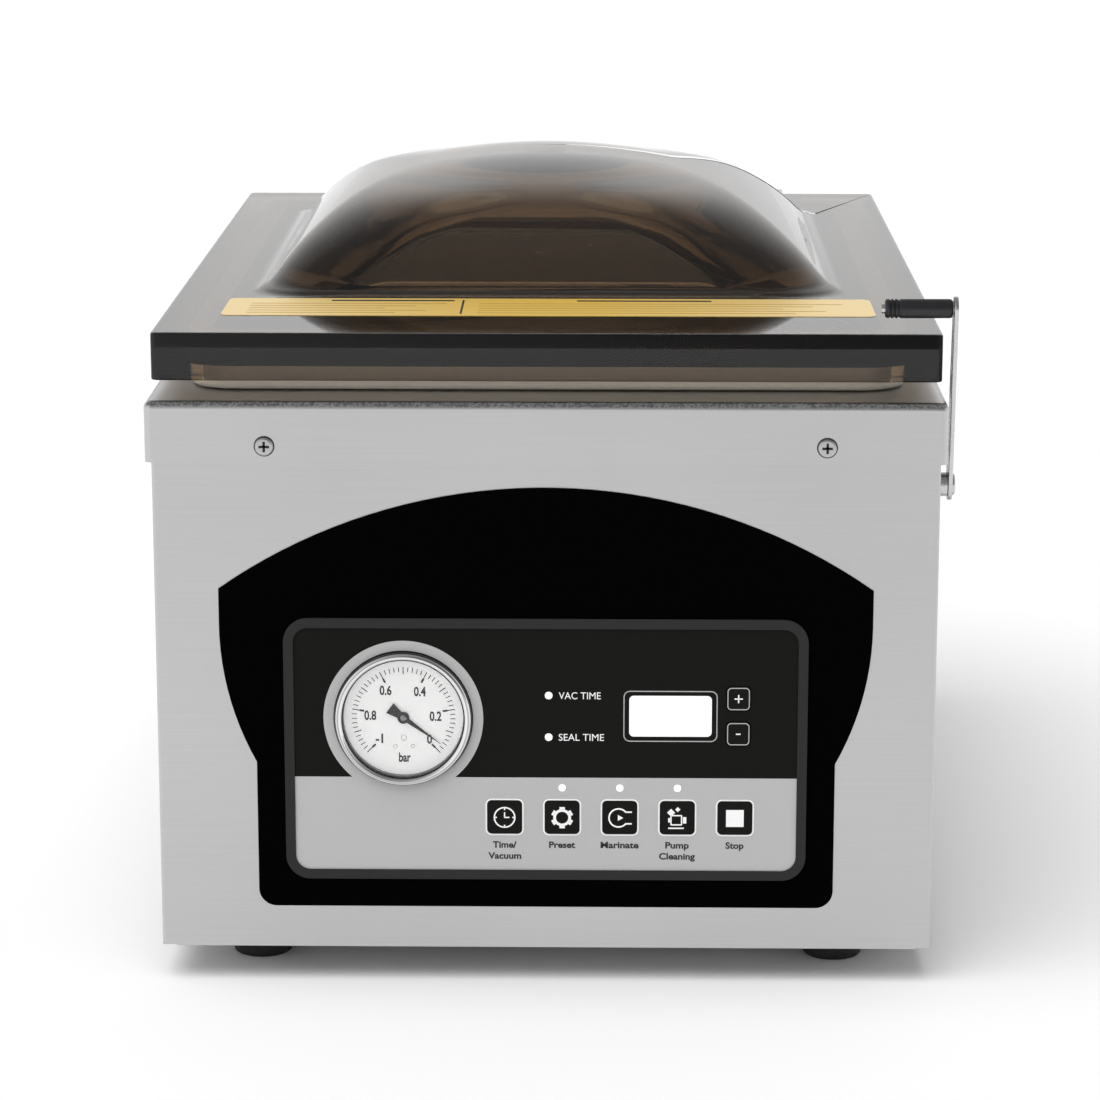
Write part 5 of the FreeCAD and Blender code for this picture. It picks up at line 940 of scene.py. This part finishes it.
def screw_shadows():
    """Painted shadow: a dark cross in each rim screw's recess and a thin dark ring round its head."""
    places = []
    for side in (-1, 1):
        places.append(((side * RIM_SCREW_X, RIM_FRONT, RIM_SCREW_Z), (0, -1, 0)))
        places.append(((side * RIM_SCREW_X, RIM_BACK, RIM_SCREW_Z), (0, 1, 0)))
        for y in (-RIM_SCREW_Y, RIM_SCREW_Y):
            places.append(((side * RIM_SIDE, y, RIM_SCREW_Z), (side, 0, 0)))
    cross_shadows, ring_shadows = [], []
    for point, outward in places:
        turn = Vector(outward).to_track_quat("Z", "Y").to_matrix().to_4x4()
        facing = Matrix.Translation(metres(point)) @ turn
        for angle in (0, math.pi / 2):
            bar = flat_patch(0, 0, 4.2, 0.95, angle)
            bar.data.transform(facing @ Matrix.Translation((0, 0, RECESS_LIFT * MM)))
            cross_shadows.append(bar)
        ring_shadow = hollowed(flat_disc(0, 0, 4.3), 0.5)
        ring_shadow.data.transform(facing)
        ring_shadows.append(ring_shadow)
    return cross_shadows, ring_shadows


# Painted shadows on the rim screws: dark crosses in the recesses and dark rings round the heads.
recess_cross_shadows, head_ring_shadows = screw_shadows()
for name, marks in (("screw_recess_shadows", recess_cross_shadows), ("screw_head_gaps", head_ring_shadows)):
    printed(name, marks, (0, 0, 0), "housing", "recess", "black_pointer", level=True)
fitted(softened("rim_screw_set", "deck_screws", 0.0, angle=30), "housing", "screw", "zinc_steel",
       "deck_screws")


# ------------------------------------------------------------------ lid latch
def ribbed_grip():
    """Rubber sleeve with a ribbed inner end and a rolled outer end."""
    section = [(2.05, 0.0), (3.2, 0.0), (3.7, 0.35)]
    for rib in range(3):
        start = 0.8 + rib * 1.7
        section += [(3.95, start), (3.95, start + 0.8), (3.45, start + 1.1), (3.45, start + 1.4)]
    section += [(3.9, 6.2), (3.95, 8.0), (3.95, 26.2), (3.75, 27.0), (3.2, 27.5), (2.05, 27.7)]
    low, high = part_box("latch_grip")
    centre = (low.x / MM, (low.y + high.y) / 2 / MM, (low.z + high.z) / 2 / MM)
    return turned("latch_grip_sleeve", section, centre, axis="X", steps=48)


fitted(ribbed_grip(), "latch", "grip", "black_rubber", "latch_grip")
fitted(softened("latch_strip", "latch_lever", 0.3), "latch", "bare", "plain_stainless", "latch_lever")


# ------------------------------------------------------------------ hinges
COIL_RADIUS, SPRING_WIRE, COIL_PITCH = 4.25, 0.9, 2.0
COIL_TURNS, COIL_STEPS = 3.25, 24
LEG_BACK, LEG_BEND = 233.0, 226.0


def spring_wire(side):
    """Torsion spring: a coil on the pin with one leg on the deck."""
    start = side * HINGE_X + 16.3
    points = [(start, y, HINGE_Z - COIL_RADIUS) for y in (LEG_BACK, LEG_BEND)]
    for step in range(int(COIL_TURNS * COIL_STEPS) + 1):
        angle = -math.pi / 2 - math.tau * step / COIL_STEPS
        points.append((start + COIL_PITCH * step / COIL_STEPS, HINGE_Y + COIL_RADIUS * math.cos(angle),
                       HINGE_Z + COIL_RADIUS * math.sin(angle)))
    return wire(f"hinge_spring_{'left' if side < 0 else 'right'}", points, SPRING_WIRE, sides=3)


def hinge_springs():
    for side in (-1, 1):
        spring = spring_wire(side)
        paint(spring, "bare")
        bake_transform(spring)
        if side > 0:
            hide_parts("hinge_springs")


hinge_springs()
fitted(softened("hinge_leaf_pair", "lid_hinge_leaves", 0.35), "lid", "bare", "plain_stainless",
       "lid_hinge_leaves")
fitted(softened("hinge_bracket_pair", "hinge_brackets", 0.3), "housing", "bare", "plain_stainless",
       "hinge_brackets")


# ------------------------------------------------------------------ lid label
def label_rules():
    """Divider and rows of plain rules on the label."""
    heads, rows = [flat_patch(-37.0, 0, 0.9, 36.0)], []
    for start, stop in ((-94, -41), (12, 70)):
        heads.append(flat_patch((start + stop) / 2, 16.5, stop - start, 3.2))
    for start, stop in ((-128, -44), (-30, 126)):
        for row in range(5):
            reach = stop - (row * 13) % 31
            rows.append(flat_patch((start + reach) / 2, 8.5 - 6.0 * row, reach - start, 1.0))
    return heads, rows


label_low, label_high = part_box("lid_label")
label_middle = (label_low + label_high) / 2 / MM
label_face = (label_middle.x, label_middle.y, label_high.z / MM)
heading_marks, row_marks = label_rules()
printed("label_heading_rules", heading_marks, label_face, "lid", "dark_ink", "black_pointer", level=True)
printed("label_row_rules", row_marks, label_face, "lid", "gold_ink", "gold_film", level=True)


# ------------------------------------------------------------------ studio
DIM_SIDE = (0.42, -0.88, 0.22)     # way from the object to the darker part of the room


def studio():
    bpy.ops.object.select_all(action="DESELECT")
    bpy.ops.mesh.primitive_plane_add(size=60, location=(0, 0, 0))
    floor = named("floor")
    floor.data.materials.append(new_finish("pale_floor", Base_Color=(0.93, 0.93, 0.93, 1), Roughness=0.9,
                                           Specular_IOR_Level=0.0))
    world = bpy.data.worlds.new("studio")
    bpy.context.scene.world = world
    world.use_nodes = True
    tree = world.node_tree
    place = tree.nodes.new("ShaderNodeTexCoord")
    split = tree.nodes.new("ShaderNodeSeparateXYZ")
    tree.links.new(place.outputs["Generated"], split.inputs["Vector"])
    ramp = tree.nodes.new("ShaderNodeValToRGB")
    ramp.color_ramp.elements[0].position = 0.35
    ramp.color_ramp.elements[0].color = (1, 1, 1, 1)
    ramp.color_ramp.elements[1].position = 0.8
    ramp.color_ramp.elements[1].color = (0.32, 0.32, 0.32, 1)
    tree.links.new(split.outputs["Z"], ramp.inputs["Fac"])
    towards = tree.nodes.new("ShaderNodeVectorMath")
    towards.operation = "DOT_PRODUCT"
    towards.inputs[1].default_value = Vector(DIM_SIDE).normalized()
    tree.links.new(place.outputs["Generated"], towards.inputs[0])
    shade = tree.nodes.new("ShaderNodeMapRange")
    shade.inputs["From Min"].default_value = 0.6
    shade.inputs["From Max"].default_value = 0.95
    shade.inputs["To Min"].default_value = 1.0
    shade.inputs["To Max"].default_value = 0.25
    tree.links.new(towards.outputs["Value"], shade.inputs["Value"])
    dimmed = tree.nodes.new("ShaderNodeVectorMath")
    dimmed.operation = "SCALE"
    tree.links.new(ramp.outputs["Color"], dimmed.inputs[0])
    tree.links.new(shade.outputs["Result"], dimmed.inputs["Scale"])
    background = tree.nodes["Background"]
    tree.links.new(dimmed.outputs["Vector"], background.inputs["Color"])
    background.inputs["Strength"].default_value = 1.0
    sun = bpy.data.lights.new("soft_overhead", "SUN")
    sun.energy = 2.2
    sun.angle = math.radians(60)
    lamp = bpy.data.objects.new("soft_overhead", sun)
    bpy.context.scene.collection.objects.link(lamp)
    lamp.rotation_euler = (math.radians(18), math.radians(-14), 0)
    lamp.visible_glossy = False
    bpy.context.scene.view_settings.view_transform = "Standard"


CAMERA_PLACE = (26.64, -1733.23, 533.97)
CAMERA_DOWN, CAMERA_LEFT = 0.22748, 0.01658
FOCAL_LENGTH = 121.63


def camera():
    lens = bpy.data.cameras.new("camera")
    lens.lens = FOCAL_LENGTH
    lens.sensor_width = 36.0
    view = bpy.data.objects.new("camera", lens)
    bpy.context.scene.collection.objects.link(view)
    view.location = metres(CAMERA_PLACE)
    view.rotation_euler = (math.pi / 2 - CAMERA_DOWN, 0, CAMERA_LEFT)
    bpy.context.scene.camera = view


studio()
camera()
